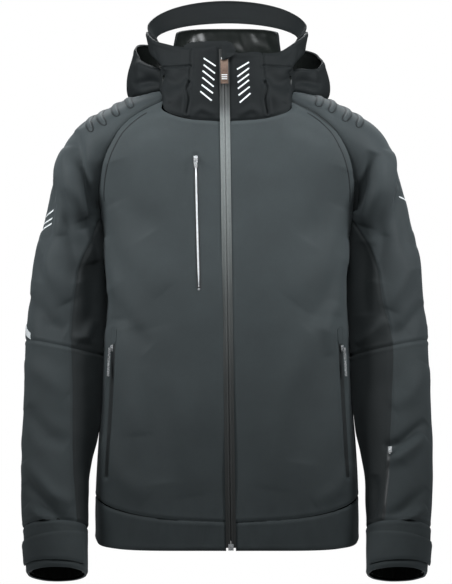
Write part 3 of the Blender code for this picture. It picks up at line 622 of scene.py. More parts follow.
# Folds of each front panel, and how much deeper than measured they are made
FRONT_DEPTH = 1.5
FRONT_FOLDS = {
    -1: fold_sum([
        ([(184, -262), (168, -330), (166, -385)], 11, 4),
        ([(178, -345), (150, -395), (118, -430)], 14, -3),
        ([(172, -395), (140, -470), (132, -560)], 22, 3.4),
        ([(150, -400), (112, -520), (98, -630)], 24, -3.4),
        ([(110, -400), (75, -520), (55, -650)], 30, 2.6),
        ([(172, -150), (150, -215), (120, -260)], 22, -2.6),
        ([(176, -215), (140, -290), (95, -345)], 24, 2.6),
        ([(186, -560), (160, -620), (120, -655)], 16, 2.2),
        ([(150, -118), (120, -100), (85, -93)], 12, -1.6),
    ], FRONT_DEPTH),
    1: fold_sum([
        ([(184, -265), (170, -320), (160, -380)], 11, 3.6),
        ([(178, -300), (150, -360), (118, -400)], 14, -2.6),
        ([(160, -360), (150, -400), (155, -440)], 10, 2.6),
        ([(160, -410), (125, -500), (110, -600)], 24, -3),
        ([(130, -380), (90, -500), (65, -640)], 28, 2.8),
        ([(176, -160), (152, -225), (122, -270)], 22, -2.4),
        ([(178, -220), (145, -300), (100, -360)], 24, 2.6),
        ([(186, -600), (165, -640), (130, -662)], 12, 2.4),
        ([(150, -118), (120, -100), (85, -93)], 12, -1.4),
    ], FRONT_DEPTH),
}


def front_relief(sign):
    def relief(points):
        x, z = points[..., 0], points[..., 2]
        total = ripple(points, 11 if sign > 0 else 12, 0.22, 0.0022)
        total += ripple(points, 21 if sign > 0 else 22, 0.07, 0.0005)
        if sign < 0:
            total += groove(x, z, CHEST_ZIP, 0.0030, 0.0011)
        total += groove(x, z, hand_zip_path(sign), 0.0032, 0.0014)
        total += FRONT_FOLDS[sign](np.abs(x), z)
        hem = np.exp(-((z + 0.680) / 0.018) ** 2)
        total += 0.0007 * hem * np.sin(x * TWO_PI / 0.031 + sign) * np.sin(x * TWO_PI / 0.083)
        return total

    return relief


def eased(points, rounds=70, reach=0.055):
    """Even out a grid down its rows near the armpit, where its two halves meet at an angle."""
    points = points.copy()
    for _ in range(rounds):
        near = np.exp(-((points[1:-1, :, 2] - ARMPIT_Z) / reach) ** 4)[..., None]
        points[1:-1] += near * (points[:-2] + points[2:] - 2 * points[1:-1]) / 4
    return points


def make_front(sign):
    v = spaced(190, 5, 0.012)[:, None]
    w = spaced(104, 9, 0.05)[None, :]
    high = front_neck_z(w)
    low = hem_seam_z(w)
    z = high + (low - high) * v
    across = front_start(z, sign) + (row_limit(z) - front_start(z, sign)) * w
    points = eased(torso_surface(z, across, 1, sign))
    piece = panel("front_shell_" + side_sign(sign), points, torso_middle, [SHELL, LINING],
                  BODY_BORDERS, front_relief(sign))
    return settle(piece, "torso", "front_panel_" + side_sign(sign))


def make_side(sign):
    z = np.linspace(ARMPIT_Z + 0.020, -0.655, 124)[:, None]
    share = spaced(24, 4, 0.05)[None, :]
    edge = row_limit(z)
    front = torso_surface(z, edge + (1 - edge) * np.clip(share * 2, 0, 1), 1, sign)
    back = torso_surface(z, 1 - (1 - edge) * np.clip(share * 2 - 1, 0, 1), -1, sign)
    points = np.where((share < 0.5)[..., None] & (z < 0)[..., None], front, back)
    # The side panel takes the darker copy of the shell, as painted shade
    piece = panel("side_shell_" + side_sign(sign), points, torso_middle, [SHADED_SIDE, LINING],
                  ALL_BORDERS, lambda p: ripple(p, 31, 0.10, 0.0008))
    settle(piece, "torso", "side_panel_" + side_sign(sign))


def back_relief(points):
    x, z = points[..., 0], points[..., 2]
    total = ripple(points, 41, 0.24, 0.0030) + ripple(points, 42, 0.08, 0.0006)
    total += groove(x, z, [(-0.165, -0.150), (0.0, -0.165), (0.165, -0.150)], 0.0022, 0.0011)
    for sign in (-1, 1):
        total += fold(x, z, [(sign * 0.165, -0.24), (sign * 0.12, -0.36)], 0.014, 0.0032)
        total += fold(x, z, [(sign * 0.06, -0.40), (sign * 0.075, -0.64)], 0.026, 0.0026)
    return total


def make_back():
    v = spaced(170, 5, 0.012)[:, None]
    w = np.linspace(-1, 1, 161)[None, :]
    wide = np.abs(w)
    z = back_neck_z(wide) + (hem_seam_z(wide) - back_neck_z(wide)) * v
    points = torso_surface(z, wide * row_limit(z), -1)
    points[..., 0] *= np.where(w < 0, -1, 1)
    points = eased(points)
    piece = panel("back_shell", points, torso_middle, [SHELL, LINING], ALL_BORDERS, back_relief)
    settle(piece, "torso", "back_panel")


def make_seam_allowances():
    """Strips under the raglan seams that close them from inside."""
    z = np.linspace(SEAM_TOP_Z - 0.004, ARMPIT_Z + 0.0005, 90)[:, None]
    for sign in (-1, 1):
        for side, facing in ((1, "front"), (-1, "back")):
            body = torso_surface(z, np.linspace(0.965, 1.0, 5)[None, :], side, sign, 0.0026)
            turns = side * seam_angle(z) * np.linspace(0.985, 0.945, 4)[None, :]
            arm = flipped_points(sleeve_surface(z, turns, 0.0028), sign)
            points = np.concatenate([body, arm], axis=1)
            strip_piece(f"raglan_allowance_{facing}_{side_sign(sign)}", points, torso_middle(points),
                        [SHADED_SIDE, LINING], 0.0006, "torso")


def hem_relief(points):
    x, z = points[..., 0], points[..., 2]
    pucker = np.exp(-((z + 0.700) / 0.020) ** 2)
    total = ripple(points, 51, 0.06, 0.0007)
    total += 0.0008 * pucker * np.sin(x * TWO_PI / 0.024) * np.sin(x * TWO_PI / 0.110 + 0.6)
    total += fold(x, z, [(-0.026, -0.690), (-0.030, -0.726)], 0.004, -0.0016)
    total += fold(x, z, [(0.037, -0.690), (0.041, -0.726)], 0.004, -0.0016)
    return total


def make_hem():
    v = spaced(16, 4, 0.07)[:, None]
    for sign in (-1, 1):
        w = spaced(92, 4, 0.02)[None, :]
        z = hem_seam_z(w) + (hem_z(w) - hem_seam_z(w)) * v
        across = front_start(z, sign) + (1 - front_start(z, sign)) * w
        points = torso_surface(z, across, 1, sign)
        piece = panel("hem_front_" + side_sign(sign), points, torso_middle, [SHELL, LINING],
                      ((0, False), (0, True), (1, False)), hem_relief, thickness=0.0030)
        settle(piece, "torso", "hem_band_front_" + side_sign(sign))
    w = np.linspace(-1, 1, 151)[None, :]
    wide = np.abs(w)
    z = hem_seam_z(wide) + (hem_z(wide) - hem_seam_z(wide)) * v
    points = torso_surface(z, wide, -1)
    points[..., 0] *= np.where(w < 0, -1, 1)
    piece = panel("hem_back", points, torso_middle, [SHELL, LINING], ((0, False), (0, True)),
                  hem_relief, thickness=0.0030)
    settle(piece, "torso", "hem_band_back")


def make_linings():
    """Body lining, seen through the hem and neck, in place of the CAD lining and pocket bags."""
    z = np.linspace(-0.130, -0.712, 60)[:, None]
    share = np.linspace(0.10, 1, 40)[None, :]
    for sign in (-1, 1):
        front = torso_surface(z, share, 1, sign, 0.006)
        back = torso_surface(z, np.linspace(1, 0, 40)[None, :], -1, sign, 0.006)
        points = np.concatenate([front, back[:, 1:]], axis=1)
        points[..., 1] += ripple(points, 61, 0.05, 0.0010)
        piece = strip_piece("body_lining_" + side_sign(sign), points, torso_middle(points),
                            [LINING, LINING], 0.0008, "torso")
        settle(piece, None, "body_lining", "hand_pocket_bag_" + side_sign(sign))
        if sign < 0:
            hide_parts("chest_pocket_bag")


# ---------------------------------------------------------------- sleeves
# Seam between the face and the under side of a sleeve, which is painted darker as shade: x and z, in
# millimetres
UNDER_SEAM = {
    -1: ((190.5, -236), (209, -271), (224, -316), (231, -357), (234, -394), (232.5, -500),
         (231, -612), (224, -697)),
    1: ((190.5, -236), (211, -271), (228, -316), (235, -357), (246, -398), (248, -520),
        (245, -577), (233, -694)),
}
UNDER_X = {sign: millimetres(*[(z, x) for x, z in path]) for sign, path in UNDER_SEAM.items()}


FACE_COLUMNS = 46
UNDER_COLUMNS = 24
UNDER_SEAM_TOP = -0.236


def sleeve_turns(levels, sign):
    """Turns round each ring, with a column on the seam between the sleeve's face and its under side."""
    centre_x, _, out_x, _ = sleeve_frame(levels)
    limit = np.where(levels > ARMPIT_Z, seam_angle(levels), 180.0) * 0.9995
    seam = np.degrees(np.arccos(np.clip((UNDER_X[sign](levels) - centre_x) / out_x, -1, 1)))
    seam = np.minimum(np.where(levels > UNDER_SEAM_TOP, 180.0, seam), limit - 1.5)
    face_share = np.linspace(0, 1, FACE_COLUMNS + 1)[None, :]
    under_share = np.linspace(0, 1, UNDER_COLUMNS + 1)[None, 1:]
    half = np.concatenate([seam * face_share, seam + (limit - seam) * under_share], axis=1)
    return np.concatenate([-half[:, :0:-1], half], axis=1)


def sleeve_relief(sign):
    def relief(points):
        x, y, z = np.abs(points[..., 0]), points[..., 1], points[..., 2]
        front = np.clip((sleeve_mid_y(z) - y) / 0.020, -1, 1) * 0.5 + 0.5
        total = ripple(points, 71 if sign > 0 else 72, 0.10, 0.0018)
        total += ripple(points, 73 if sign > 0 else 74, 0.045, 0.0007)
        total += groove(x, z, metres(UNDER_SEAM[sign]), 0.0017, 0.0013)
        total += front * SLEEVE_FOLDS[sign](x, z)
        total += (1 - front) * BACK_FOLDS(x, z)
        return total

    return relief


FOLD_DEPTH = 2.2
SLEEVE_FOLDS = {
    -1: fold_sum([
        ([(229, -100), (222, -152), (211, -188), (200, -245)], 9, -6.2),
        ([(246, -125), (233, -185), (212, -235)], 14, 5),
        ([(262, -175), (240, -250), (222, -330)], 12, -3.5),
        ([(285, -265), (262, -320), (240, -360)], 14, 3.2),
        ([(300, -350), (270, -392), (243, -405)], 12, -3),
        ([(304, -445), (270, -480), (240, -500)], 14, 1.8),
        ([(306, -520), (272, -560), (240, -575)], 13, -2.6),
        ([(305, -600), (262, -648), (232, -664)], 10, 3),
        ([(303, -632), (255, -680), (226, -690)], 8, -3),
        ([(300, -665), (262, -696)], 7, 2.6),
        ([(272, -130), (268, -215), (286, -330)], 10, -3.4),
        ([(262, -120), (256, -200), (252, -260)], 10, 3),
        ([(296, -290), (288, -400), (296, -520)], 12, 1.6),
        ([(214, -250), (206, -280), (200, -300)], 9, 3.6),
        ([(206, -300), (200, -360), (206, -420)], 12, -3),
        ([(200, -385), (212, -412), (232, -416)], 8, 3.6),
    ], FOLD_DEPTH),
    1: fold_sum([
        ([(222, -135), (206, -180), (193, -225)], 10, -6.5),
        ([(240, -130), (228, -190), (208, -245)], 14, 4.8),
        ([(262, -190), (238, -260), (225, -330)], 12, -3),
        ([(286, -275), (262, -335), (246, -372)], 14, 3),
        ([(300, -362), (272, -400), (247, -412)], 11, -2.8),
        ([(303, -455), (276, -500), (250, -520)], 14, 2.4),
        ([(300, -540), (262, -572), (236, -580)], 8, -4.2),
        ([(298, -562), (262, -592), (238, -600)], 10, 3.2),
        ([(302, -640), (262, -672), (232, -684)], 9, -2.6),
        ([(300, -668), (258, -694)], 7, 2.6),
        ([(268, -125), (264, -205), (280, -310)], 10, -3),
        ([(252, -125), (246, -200), (240, -260)], 10, 3),
        ([(210, -270), (204, -330), (206, -380)], 12, -3),
        ([(240, -385), (215, -410), (198, -425)], 9, 3),
        ([(222, -620), (222, -655), (216, -690)], 6, -2.6),
    ], FOLD_DEPTH),
}
BACK_FOLDS = fold_sum([
    ([(232, -120), (212, -190), (200, -240)], 12, -4.5),
    ([(280, -250), (250, -330)], 14, 3),
    ([(300, -390), (262, -430), (215, -440)], 13, 3.6),
    ([(300, -420), (262, -462), (215, -470)], 10, -3.4),
    ([(302, -470), (262, -505), (220, -512)], 12, 3.2),
    ([(302, -600), (255, -640)], 10, -2.6),
], FOLD_DEPTH)


def sleeve_zones(turns, levels):
    """1 on the under side, which is painted darker as shade, 0 on the face of the sleeve."""
    columns = np.arange(turns.shape[1])
    middle = turns.shape[1] // 2
    beside = (columns >= middle + FACE_COLUMNS) | (columns < middle - FACE_COLUMNS)
    return np.broadcast_to(beside[None, :], turns.shape).astype(int) * (levels < -0.238)


ELBOW_SLANT = 0.014


def sleeve_middle(points, sign):
    z = np.clip(points[..., 2], CUFF_Z, -0.10)
    low = np.minimum(z, ARMPIT_Z)
    centre = (sleeve_outer(low) + sleeve_inner(low)) / 2
    centre = np.where(z > ARMPIT_Z, 0.205, centre)
    drop = np.where(points[..., 2] > ARMPIT_Z, 0.05, 0.0)
    return points_of(sign * centre, sleeve_mid_y(z), points[..., 2] - drop)


def flipped_points(points, sign):
    """Points made for the left side, or mirrored for the right if sign is -1."""
    return points * np.array([sign, 1, 1])


def follow_arm(piece):
    """Bake the transform of a piece of the upper sleeve into its mesh."""
    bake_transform(piece)


def make_upper_sleeve(sign):
    """Raglan sleeve from the neck to the elbow seam: an open arch above the armpit, a ring below it."""
    first = np.linspace(0, 1, 96) ** 0.9
    lower = np.concatenate([np.linspace(0, 0.95, 76)[1:], np.linspace(0.95, 1, 8)[1:]])
    levels = np.concatenate([SEAM_TOP_Z + (ARMPIT_Z - SEAM_TOP_Z) * first,
                             ARMPIT_Z + (ELBOW_SEAM_Z - ARMPIT_Z) * lower])[:, None]
    turns = sleeve_turns(levels, sign)
    points = eased(flipped_points(sleeve_surface(levels, turns), sign), 90, 0.045)
    fade = np.clip((ELBOW_SEAM_Z + 0.08 - levels) / 0.08, 0, 1)
    points[..., 2] += ELBOW_SLANT * fade * np.cos(np.radians(turns))
    borders = ((0, False), (0, True, 0.0011), (1, False, 0.0005), (1, True, 0.0005))
    piece = panel("upper_sleeve_" + side_sign(sign), points, sleeve_middle(points, sign),
                  [SHADED_SHOULDER, SHADED_SIDE, LINING], borders, sleeve_relief(sign),
                  zones=sleeve_zones(turns, levels))
    side = side_sign(sign)
    settle(piece, None, *[node + side for node in ("shoulder_yoke_", "shoulder_cap_", "upper_sleeve_front_",
                                                   "upper_sleeve_back_")])
    follow_arm(piece)
    return piece


def make_lower_sleeve(sign):
    levels = (ELBOW_SEAM_Z + (CUFF_SEAM_Z - ELBOW_SEAM_Z) * spaced(128, 6, 0.035))[:, None]
    turns = sleeve_turns(levels, sign)[:, :-1]
    points = flipped_points(sleeve_surface(levels, turns), sign)
    fade = np.clip((levels - ELBOW_SEAM_Z + 0.08) / 0.08, 0, 1)
    points[..., 2] += ELBOW_SLANT * fade * np.cos(np.radians(turns))
    piece = panel("lower_sleeve_" + side_sign(sign), points, sleeve_middle(points, sign),
                  [SHELL, SHADED_SIDE, LINING], ((0, False), (0, True)), sleeve_relief(sign), closed=True,
                  zones=sleeve_zones(turns, levels))
    side = side_sign(sign)
    settle(piece, None, *[node + side for node in ("elbow_panel_", "forearm_front_", "forearm_back_")])
    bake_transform(piece)
    return piece


def cuff_relief(points):
    return ripple(points, 81, 0.03, 0.0008)


def make_cuff(sign):
    side = side_sign(sign)
    turns = np.linspace(-180, 180, 97)[None, :-1]
    levels = (CUFF_SEAM_Z + (CUFF_Z - CUFF_SEAM_Z) * spaced(34, 4, 0.04))[:, None]
    points = flipped_points(sleeve_surface(levels, turns), sign)
    piece = panel("cuff_" + side, points, sleeve_middle(points, sign), [SHELL, LINING],
                  ((0, False), (0, True)), cuff_relief, closed=True, thickness=0.0030)
    settle(piece, "forearm_" + side, "cuff_band_" + side)
    levels = np.linspace(-0.690, CUFF_Z + 0.004, 40)[:, None]
    points = flipped_points(sleeve_surface(levels, turns, 0.0062), sign)
    pleats = 0.0010 * np.sin(np.radians(turns) * 14) * np.ones_like(levels)
    points += grid_normals(points, True) * pleats[..., None]
    piece = strip_piece("cuff_lining_" + side, points, sleeve_middle(points, sign), [LINING, LINING],
                        0.0012, "forearm_" + side, closed=True)
    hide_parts("inner_cuff_" + side)


def make_strap(sign):
    """Cuff tab: wide at the inner side, narrower where it closes round the outer edge."""
    side = side_sign(sign)
    turns = (150 + (-12 - 150) * spaced(70, 4, 0.02))[None, :]
    share = spaced(16, 4, 0.08)[:, None]
    narrow = 0.5 - 0.5 * np.cos(np.radians(turns))
    half = 0.017 + 0.007 * narrow
    tip = np.clip((turns + 12) / 14, 0, 1) ** 0.5
    half = half * (0.62 + 0.38 * tip)
    centre = -0.7360 - 0.004 * (1 - narrow)
    points = flipped_points(sleeve_surface(centre + half - 2 * half * share, turns, -0.0036), sign)
    piece = panel("cuff_tab_" + side, points, sleeve_middle(points, sign), [SHELL, SHADED_SIDE], ALL_BORDERS,
                  lambda p: ripple(p, 85, 0.04, 0.0003), thickness=0.0022, roll=0.0009)
    settle(piece, "cuff_tab_" + side, "cuff_strap_" + side)


# ---------------------------------------------------------------- collar and hood
def neck_middle(points):
    return points_of(0.0 * points[..., 0], -0.070, points[..., 2])


COLLAR_SEAMS = fold_sum([
    ([(53, 30), (55, -5), (57, -30)], 1.4, 1.4),
    ([(57, -30), (60, -40), (58, -56), (61, -76)], 2, 3.4),
    ([(54, -5), (95, -6)], 1.4, 1.8),
], shape=groove)
COLLAR_FOLDS = fold_sum([
    ([(56, -28), (70, -50), (85, -62)], 10, 3),
    ([(60, -38), (62, -78)], 4, 2.4),
    ([(16, -80), (38, -70), (52, -78)], 5, 3),
    ([(60, -12), (74, -30), (94, -36)], 9, -2.8),
    ([(92, -16), (96, -40), (88, -62)], 6, 3),
    ([(70, 12), (88, 16), (112, 30)], 8, -2.2),
])


def collar_relief(points):
    x, z = np.abs(points[..., 0]), points[..., 2]
    return ripple(points, 91, 0.06, 0.0008) + COLLAR_SEAMS(x, z) + COLLAR_FOLDS(x, z)


EDGE_SHIFT = {
    -1: Profile((0, -0.009), (6, -0.001), (20, 0.004), (36, 0.005), (50, 0.003), (60, 0.0), (80, 0.0)),
    1: Profile((0, -0.011), (12, -0.007), (20, -0.002), (36, -0.004), (44, -0.004), (60, 0.0), (80, 0.0)),
}


def make_collar(sign):
    side = side_sign(sign)
    height = spaced(72, 4, 0.03)[:, None]
    turns = np.concatenate([np.linspace(0, 12, 12)[:-1], np.linspace(12, 98, 130)])[None, :]
    points = flipped_points(collar_surface(turns, height), sign)
    points[..., 2] += EDGE_SHIFT[sign](turns) * height ** 2
    middle_line = collar_surface(np.zeros_like(height), height)
    start = points_of(zip_x(middle_line[..., 2]) + sign * ZIP_EDGE, front_y(middle_line[..., 2]),
                      middle_line[..., 2])
    share = 1 - np.clip(turns / 12, 0, 1)
    points = points + (start - flipped_points(middle_line, sign)) * share[..., None]
    piece = panel("collar_" + side, points, neck_middle, [SHADED_COLLAR, LINING], ALL_BORDERS,
                  collar_relief, thickness=0.0032, roll=0.0012)
    return settle(piece, "torso", "collar_front_" + side, "hood_side_" + side)


def mirrored_ring(surface, turns, heights):
    left = surface(turns[None, :], heights)
    right = flipped_points(left[:, :-1], -1)
    return np.concatenate([right, left[:, ::-1]], axis=1)


def make_collar_back():
    points = mirrored_ring(back_collar_surface, np.linspace(108, 180, 46), spaced(30, 4, 0.03)[:, None])
    piece = panel("collar_back_shell", points, neck_middle, [SHADED_COLLAR, LINING], ALL_BORDERS,
                  lambda p: ripple(p, 95, 0.05, 0.0008) + ripple(p, 96, 0.022, 0.0009), thickness=0.0034,
                  roll=0.0008)
    settle(piece, "torso", "collar_back")


def make_brim():
    points = mirrored_ring(brim_surface, np.linspace(70, 180, 66), spaced(16, 4, 0.05)[:, None])
    piece = panel("hood_band", points, neck_middle, [SHADED_COLLAR, SHADED_COLLAR], ALL_BORDERS,
                  lambda p: ripple(p, 97, 0.06, 0.0007), thickness=0.0030, roll=0.0009)
    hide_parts("hood_brim")
    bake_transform(piece)


HOOD_FOLDS = fold_sum([
    ([(100, -30), (118, -24), (146, -30)], 7, -6),
    ([(98, -12), (120, -6), (144, 6)], 8, 4.5),
    ([(108, -48), (126, -42), (150, -50)], 6, 4.5),
    ([(130, 20), (136, -10), (134, -40)], 5, 2),
])


def crown_relief(points):
    x, y = np.abs(points[..., 0]), points[..., 1]
    angle = np.arctan2(x, y + 0.04)
    total = ripple(points, 99, 0.07, 0.0030)
    total += 0.0026 * np.sin(angle * 11) * np.clip(1 - (points[..., 2] + 0.09) / 0.11, 0, 1)
    total += np.where(y < 0.03, HOOD_FOLDS(x, points[..., 2]), 0.0)
    return total


def make_crown():
    depth = np.linspace(0, 1, 54)[:, None]
    points = mirrored_ring(crown_surface, np.linspace(92, 180, 80), depth)
    droop = np.clip((points[..., 0] - 0.104) / 0.040, 0, 1) * (1 - depth) ** 1.5
    points[..., 2] -= 0.020 * droop
    points[..., 0] += 0.007 * droop
    middle = points_of(points[..., 0] * 0.86, points[..., 1] * 0.9 - 0.005, 0.02)
    piece = panel("hood_crown_shell", points, middle, [SHADED_COLLAR, LINING], ((0, False),), crown_relief,
                  thickness=0.0025)
    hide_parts("hood_crown")
    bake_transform(piece)


def make_facing():
    """Inner band of the collar that stands above its front edge beside the chin flap."""
    share = spaced(60, 4, 0.02)[None, :]
    height = spaced(14, 3, 0.08)[:, None]
    turns = 1.5 + 36.0 * share
    base = collar_surface(turns, np.ones_like(height), 0.0046)
    low = base[..., 2] - 0.016
    top = np.interp(-base[..., 0], [-0.066, -0.053, -0.030, -0.009], [0.0265, 0.0310, 0.0320, 0.0325])
    points = flipped_points(base, -1)
    points[..., 2] = low + (top - low) * height
    points[..., 1] += 0.002 * height
    piece = panel("collar_facing", points, neck_middle, [SHADED_COLLAR, LINING], ALL_BORDERS, None,
                  thickness=0.0018, roll=0.0006)
    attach(piece, "torso")


def make_chin_flap():
    """Folded guard over the top of the zip: stitched on the wearer's right, its tip over the slider."""
    z = np.linspace(0.0300, 0.0025, 34)[:, None]
    share = spaced(20, 3, 0.08)[None, :]
    left = np.interp(-z, [-0.0300, -0.026, -0.0025], [-0.0060, -0.0082, -0.0080])
    right = np.interp(-z, [-0.0300, -0.027, -0.018, -0.0105, -0.0025],
                      [0.0060, 0.0085, 0.0138, 0.0104, -0.0010])
    x = left + (right - left) * share
    y = front_y(z) - 0.0064 - 0.0016 * np.sin(share * math.pi) - 0.0040 * np.clip((0.013 - z) / 0.007, 0, 1)
    points = points_of(x, y, z)
    piece = panel("chin_guard", points, points + BEHIND, [SHADED_COLLAR, LINING], ALL_BORDERS, None,
                  thickness=0.0018, roll=0.0006)
    settle(piece, "chin_flap", "chin_flap")


# ---------------------------------------------------------------- things laid on the fabric
def cast(piece, x, z, way=1):
    """Point and normal on a piece, seen from the front, or from behind if way is -1."""
    hit, place, normal, _ = piece.ray_cast(Vector((x, -way, z)), Vector((0, way, 0)))
    return (np.array(place), np.array(normal)) if hit else None


def ribbon(name, piece, path, width, lift, thickness, finish, body, steps=None, taper=0.0, crown=0.0):
    """A strip laid on a piece along a path in the front plane."""
    total = sum(math.dist(a, b) for a, b in zip(path, path[1:]))
    steps = steps or max(int(total / 0.003), 6)
    run = np.cumsum([0] + [math.dist(a, b) for a, b in zip(path, path[1:])])
    places = np.linspace(0, total, steps + 1)
    xs = np.interp(places, run, [a for a, _ in path])
    zs = np.interp(places, run, [b for _, b in path])
    tx, tz = np.gradient(xs), np.gradient(zs)
    size = np.hypot(tx, tz)
    nx, nz = -tz / size, tx / size
    rows = []
    for x, z, ax, az, place in zip(xs, zs, nx, nz, places):
        grow = min(1.0, (min(place, total - place) + 0.0004) / taper) ** 0.5 if taper else 1.0
        row = []
        for across in (-1.0, -0.5, 0.0, 0.5, 1.0):
            found = cast(piece, x + ax * across * width / 2 * grow, z + az * across * width / 2 * grow)
            if found is None:
                row = None
                break
            point, normal = found
            row.append(point + normal * (lift + crown * (1 - across ** 2)))
        if row:
            rows.append(row)
    points = np.array(rows)
    return strip_piece(name, points, points + BEHIND, [finish, finish], thickness, body)


# Strokes of film on the collar fronts: x and z of both ends, in millimetres
BARS = {
    -1: [((-35, 6), (-17, -6)), ((-35, -4), (-18, -17)), ((-36.5, -13), (-19, -27)),
         ((-37, -23), (-20, -37)), ((-38, -34), (-21, -47)), ((-40, -44), (-23, -58))],
    1: [((15, -11), (33, 0)), ((15.5, -22), (33, -9)), ((16, -31), (33, -18)),
        ((16.4, -40), (33, -27)), ((17.4, -50), (34, -37)), ((19, -61), (35, -47))],
}


def make_bars(collars):
    for sign, bars in BARS.items():
        for number, path in enumerate(bars):
            ribbon(f"collar_bar_{side_sign(sign)}_{number + 1}", collars[sign], metres(path), 0.0022,
                   0.0003, 0.0004, FILM, "torso", steps=8)


# Raised bars on the shoulders: x and z of both ends, in millimetres
RIBS = {
    -1: [((209, -82), (202, -104)), ((190, -71), (182, -93)), ((170, -62), (163, -79)),
         ((149, -53), (143, -67))],
    1: [((202, -79), (196, -97)), ((183, -69), (176, -88)), ((160, -59), (155, -74)),
        ((140, -52), (136, -65))],
}


def sleeve_place(x, z):
    """Level and turn of the front sleeve point seen at a place in the front plane."""
    levels = np.linspace(SEAM_TOP_Z, ELBOW_SEAM_Z, 260)[:, None]
    turns = np.linspace(0, 1, 180)[None, :] * np.where(levels > ARMPIT_Z, seam_angle(levels), 180.0)
    points = sleeve_surface(levels, turns)
    gap = np.hypot(points[..., 0] - x, points[..., 2] - z)
    row, column = np.unravel_index(np.argmin(gap), gap.shape)
    return levels[row, 0], turns[row, column]


def sleeve_out(levels, turns, sign):
    """Points of a sleeve and the way out of it there."""
    points = flipped_points(sleeve_surface(levels, turns), sign)
    out = points - flipped_points(sleeve_surface(levels, turns, 0.01), sign)
    return points, out / np.linalg.norm(out, axis=-1, keepdims=True)


def lay(piece, point, out, reach=0.03):
    """Point of a piece's surface under a place, looked for against a direction."""
    found, place, _, _ = piece.ray_cast(Vector(point + out * reach), Vector(-out), distance=2 * reach)
    return np.array(place) if found else point


# Name ending, half width, lift, height and finish of a rib and of the dark line round it, which is painted
# shadow of the rib
RIB_LAYERS = (("", 0.0038, 0.0006, 0.0017, SHADED_SHOULDER), ("_shadow_line", 0.0058, 0.0009, 0.0004, BINDING))


def make_ribs(sleeves):
    """Raised bars over the shoulder ridge, each with a dark line round it as painted shadow."""
    for sign, ribs in RIBS.items():
        for number, (ridge, low) in enumerate(map(metres, ribs)):
            name = f"shoulder_rib_{side_sign(sign)}_{number + 1}"
            high_level, high_turn = sleeve_place(*ridge)
            low_level, low_turn = sleeve_place(*low)
            share = np.linspace(-1.1, 1, 36)
            levels = high_level + (low_level - high_level) * share
            turns = high_turn + (low_turn - high_turn) * share
            centre, out = sleeve_out(levels, turns, sign)
            along = np.gradient(centre, axis=0)
            across = np.cross(along, out)
            across /= np.linalg.norm(across, axis=-1, keepdims=True)
            ends = np.clip(1 - np.abs(np.linspace(-1, 1, 36)) ** 14, 0.12, 1) ** 0.5
            for part, half, base, height, finish in RIB_LAYERS:
                rows = []
                for place, side, away, width in zip(centre, across, out, ends):
                    row = []
                    for step in np.linspace(-1, 1, 11):
                        point = lay(sleeves[sign], place + side * step * half * width, away)
                        row.append(point + away * (base + height * (1 - abs(step) ** 5) * width ** 2))
                    rows.append(row)
                points = np.array(rows)
                strip_piece(name + part, points, points - out[:, None, :], [finish, finish], 0.0008,
                            "torso")


def make_sleeve_marks(uppers):
    """Reflective strokes on the outer edge of the sleeves."""
    strokes = {
        -1: [((0.2780, -0.230), (0.2690, -0.2195)), ((0.2810, -0.243), (0.2705, -0.2315)),
             ((0.2830, -0.252), (0.2710, -0.2405))],
        1: [((0.2740, -0.206), (0.2670, -0.1990))],
    }
    for sign, marks in strokes.items():
        for number, (outer, inner) in enumerate(marks):
            (low, last), (high, first) = sleeve_place(*outer), sleeve_place(*inner)
            name = f"sleeve_mark_{side_sign(sign)}_{number + 1}"
            sleeve_strip(name, uppers[sign], sign, first, min(last, 4), high, low, 0.0024)
    sleeve_strip("sleeve_flash_right", uppers[-1], -1, 34, -18, -0.4120, -0.3940, 0.0100)


def sleeve_strip(name, sleeve, sign, first, last, high, low, width):
    """Film laid round the outer edge of a sleeve, between two turns and two levels."""
    share = np.linspace(0, 1, 22)[:, None]
    levels = high + (low - high) * share + np.linspace(-0.5, 0.5, 4)[None, :] * width
    centre, out = sleeve_out(levels, first + (last - first) * share, sign)
    rows = zip(centre, out)
    points = np.array([[lay(sleeve, *place) + place[1] * 0.0004 for place in zip(*row)] for row in rows])
    middle = points - np.array([sign * 0.1, -0.02, 0])
    follow_arm(strip_piece(name, points, middle, [FILM, FILM], 0.0003, None))


def joint_axis(name):
    joints = frame["record"]["behaviour"]["joints"]
    return np.array(next(joint["axis"] for joint in joints if joint["name"] == name), float)


def node_middle(node):
    low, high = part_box(node)
    return (np.array(low) + np.array(high)) / 2


def object_of(shape, name):
    """Turn a bmesh into an object of the scene."""
    mesh = bpy.data.meshes.new(name)
    shape.to_mesh(mesh)
    shape.free()
    piece = bpy.data.objects.new(name, mesh)
    bpy.context.scene.collection.objects.link(piece)
    return piece


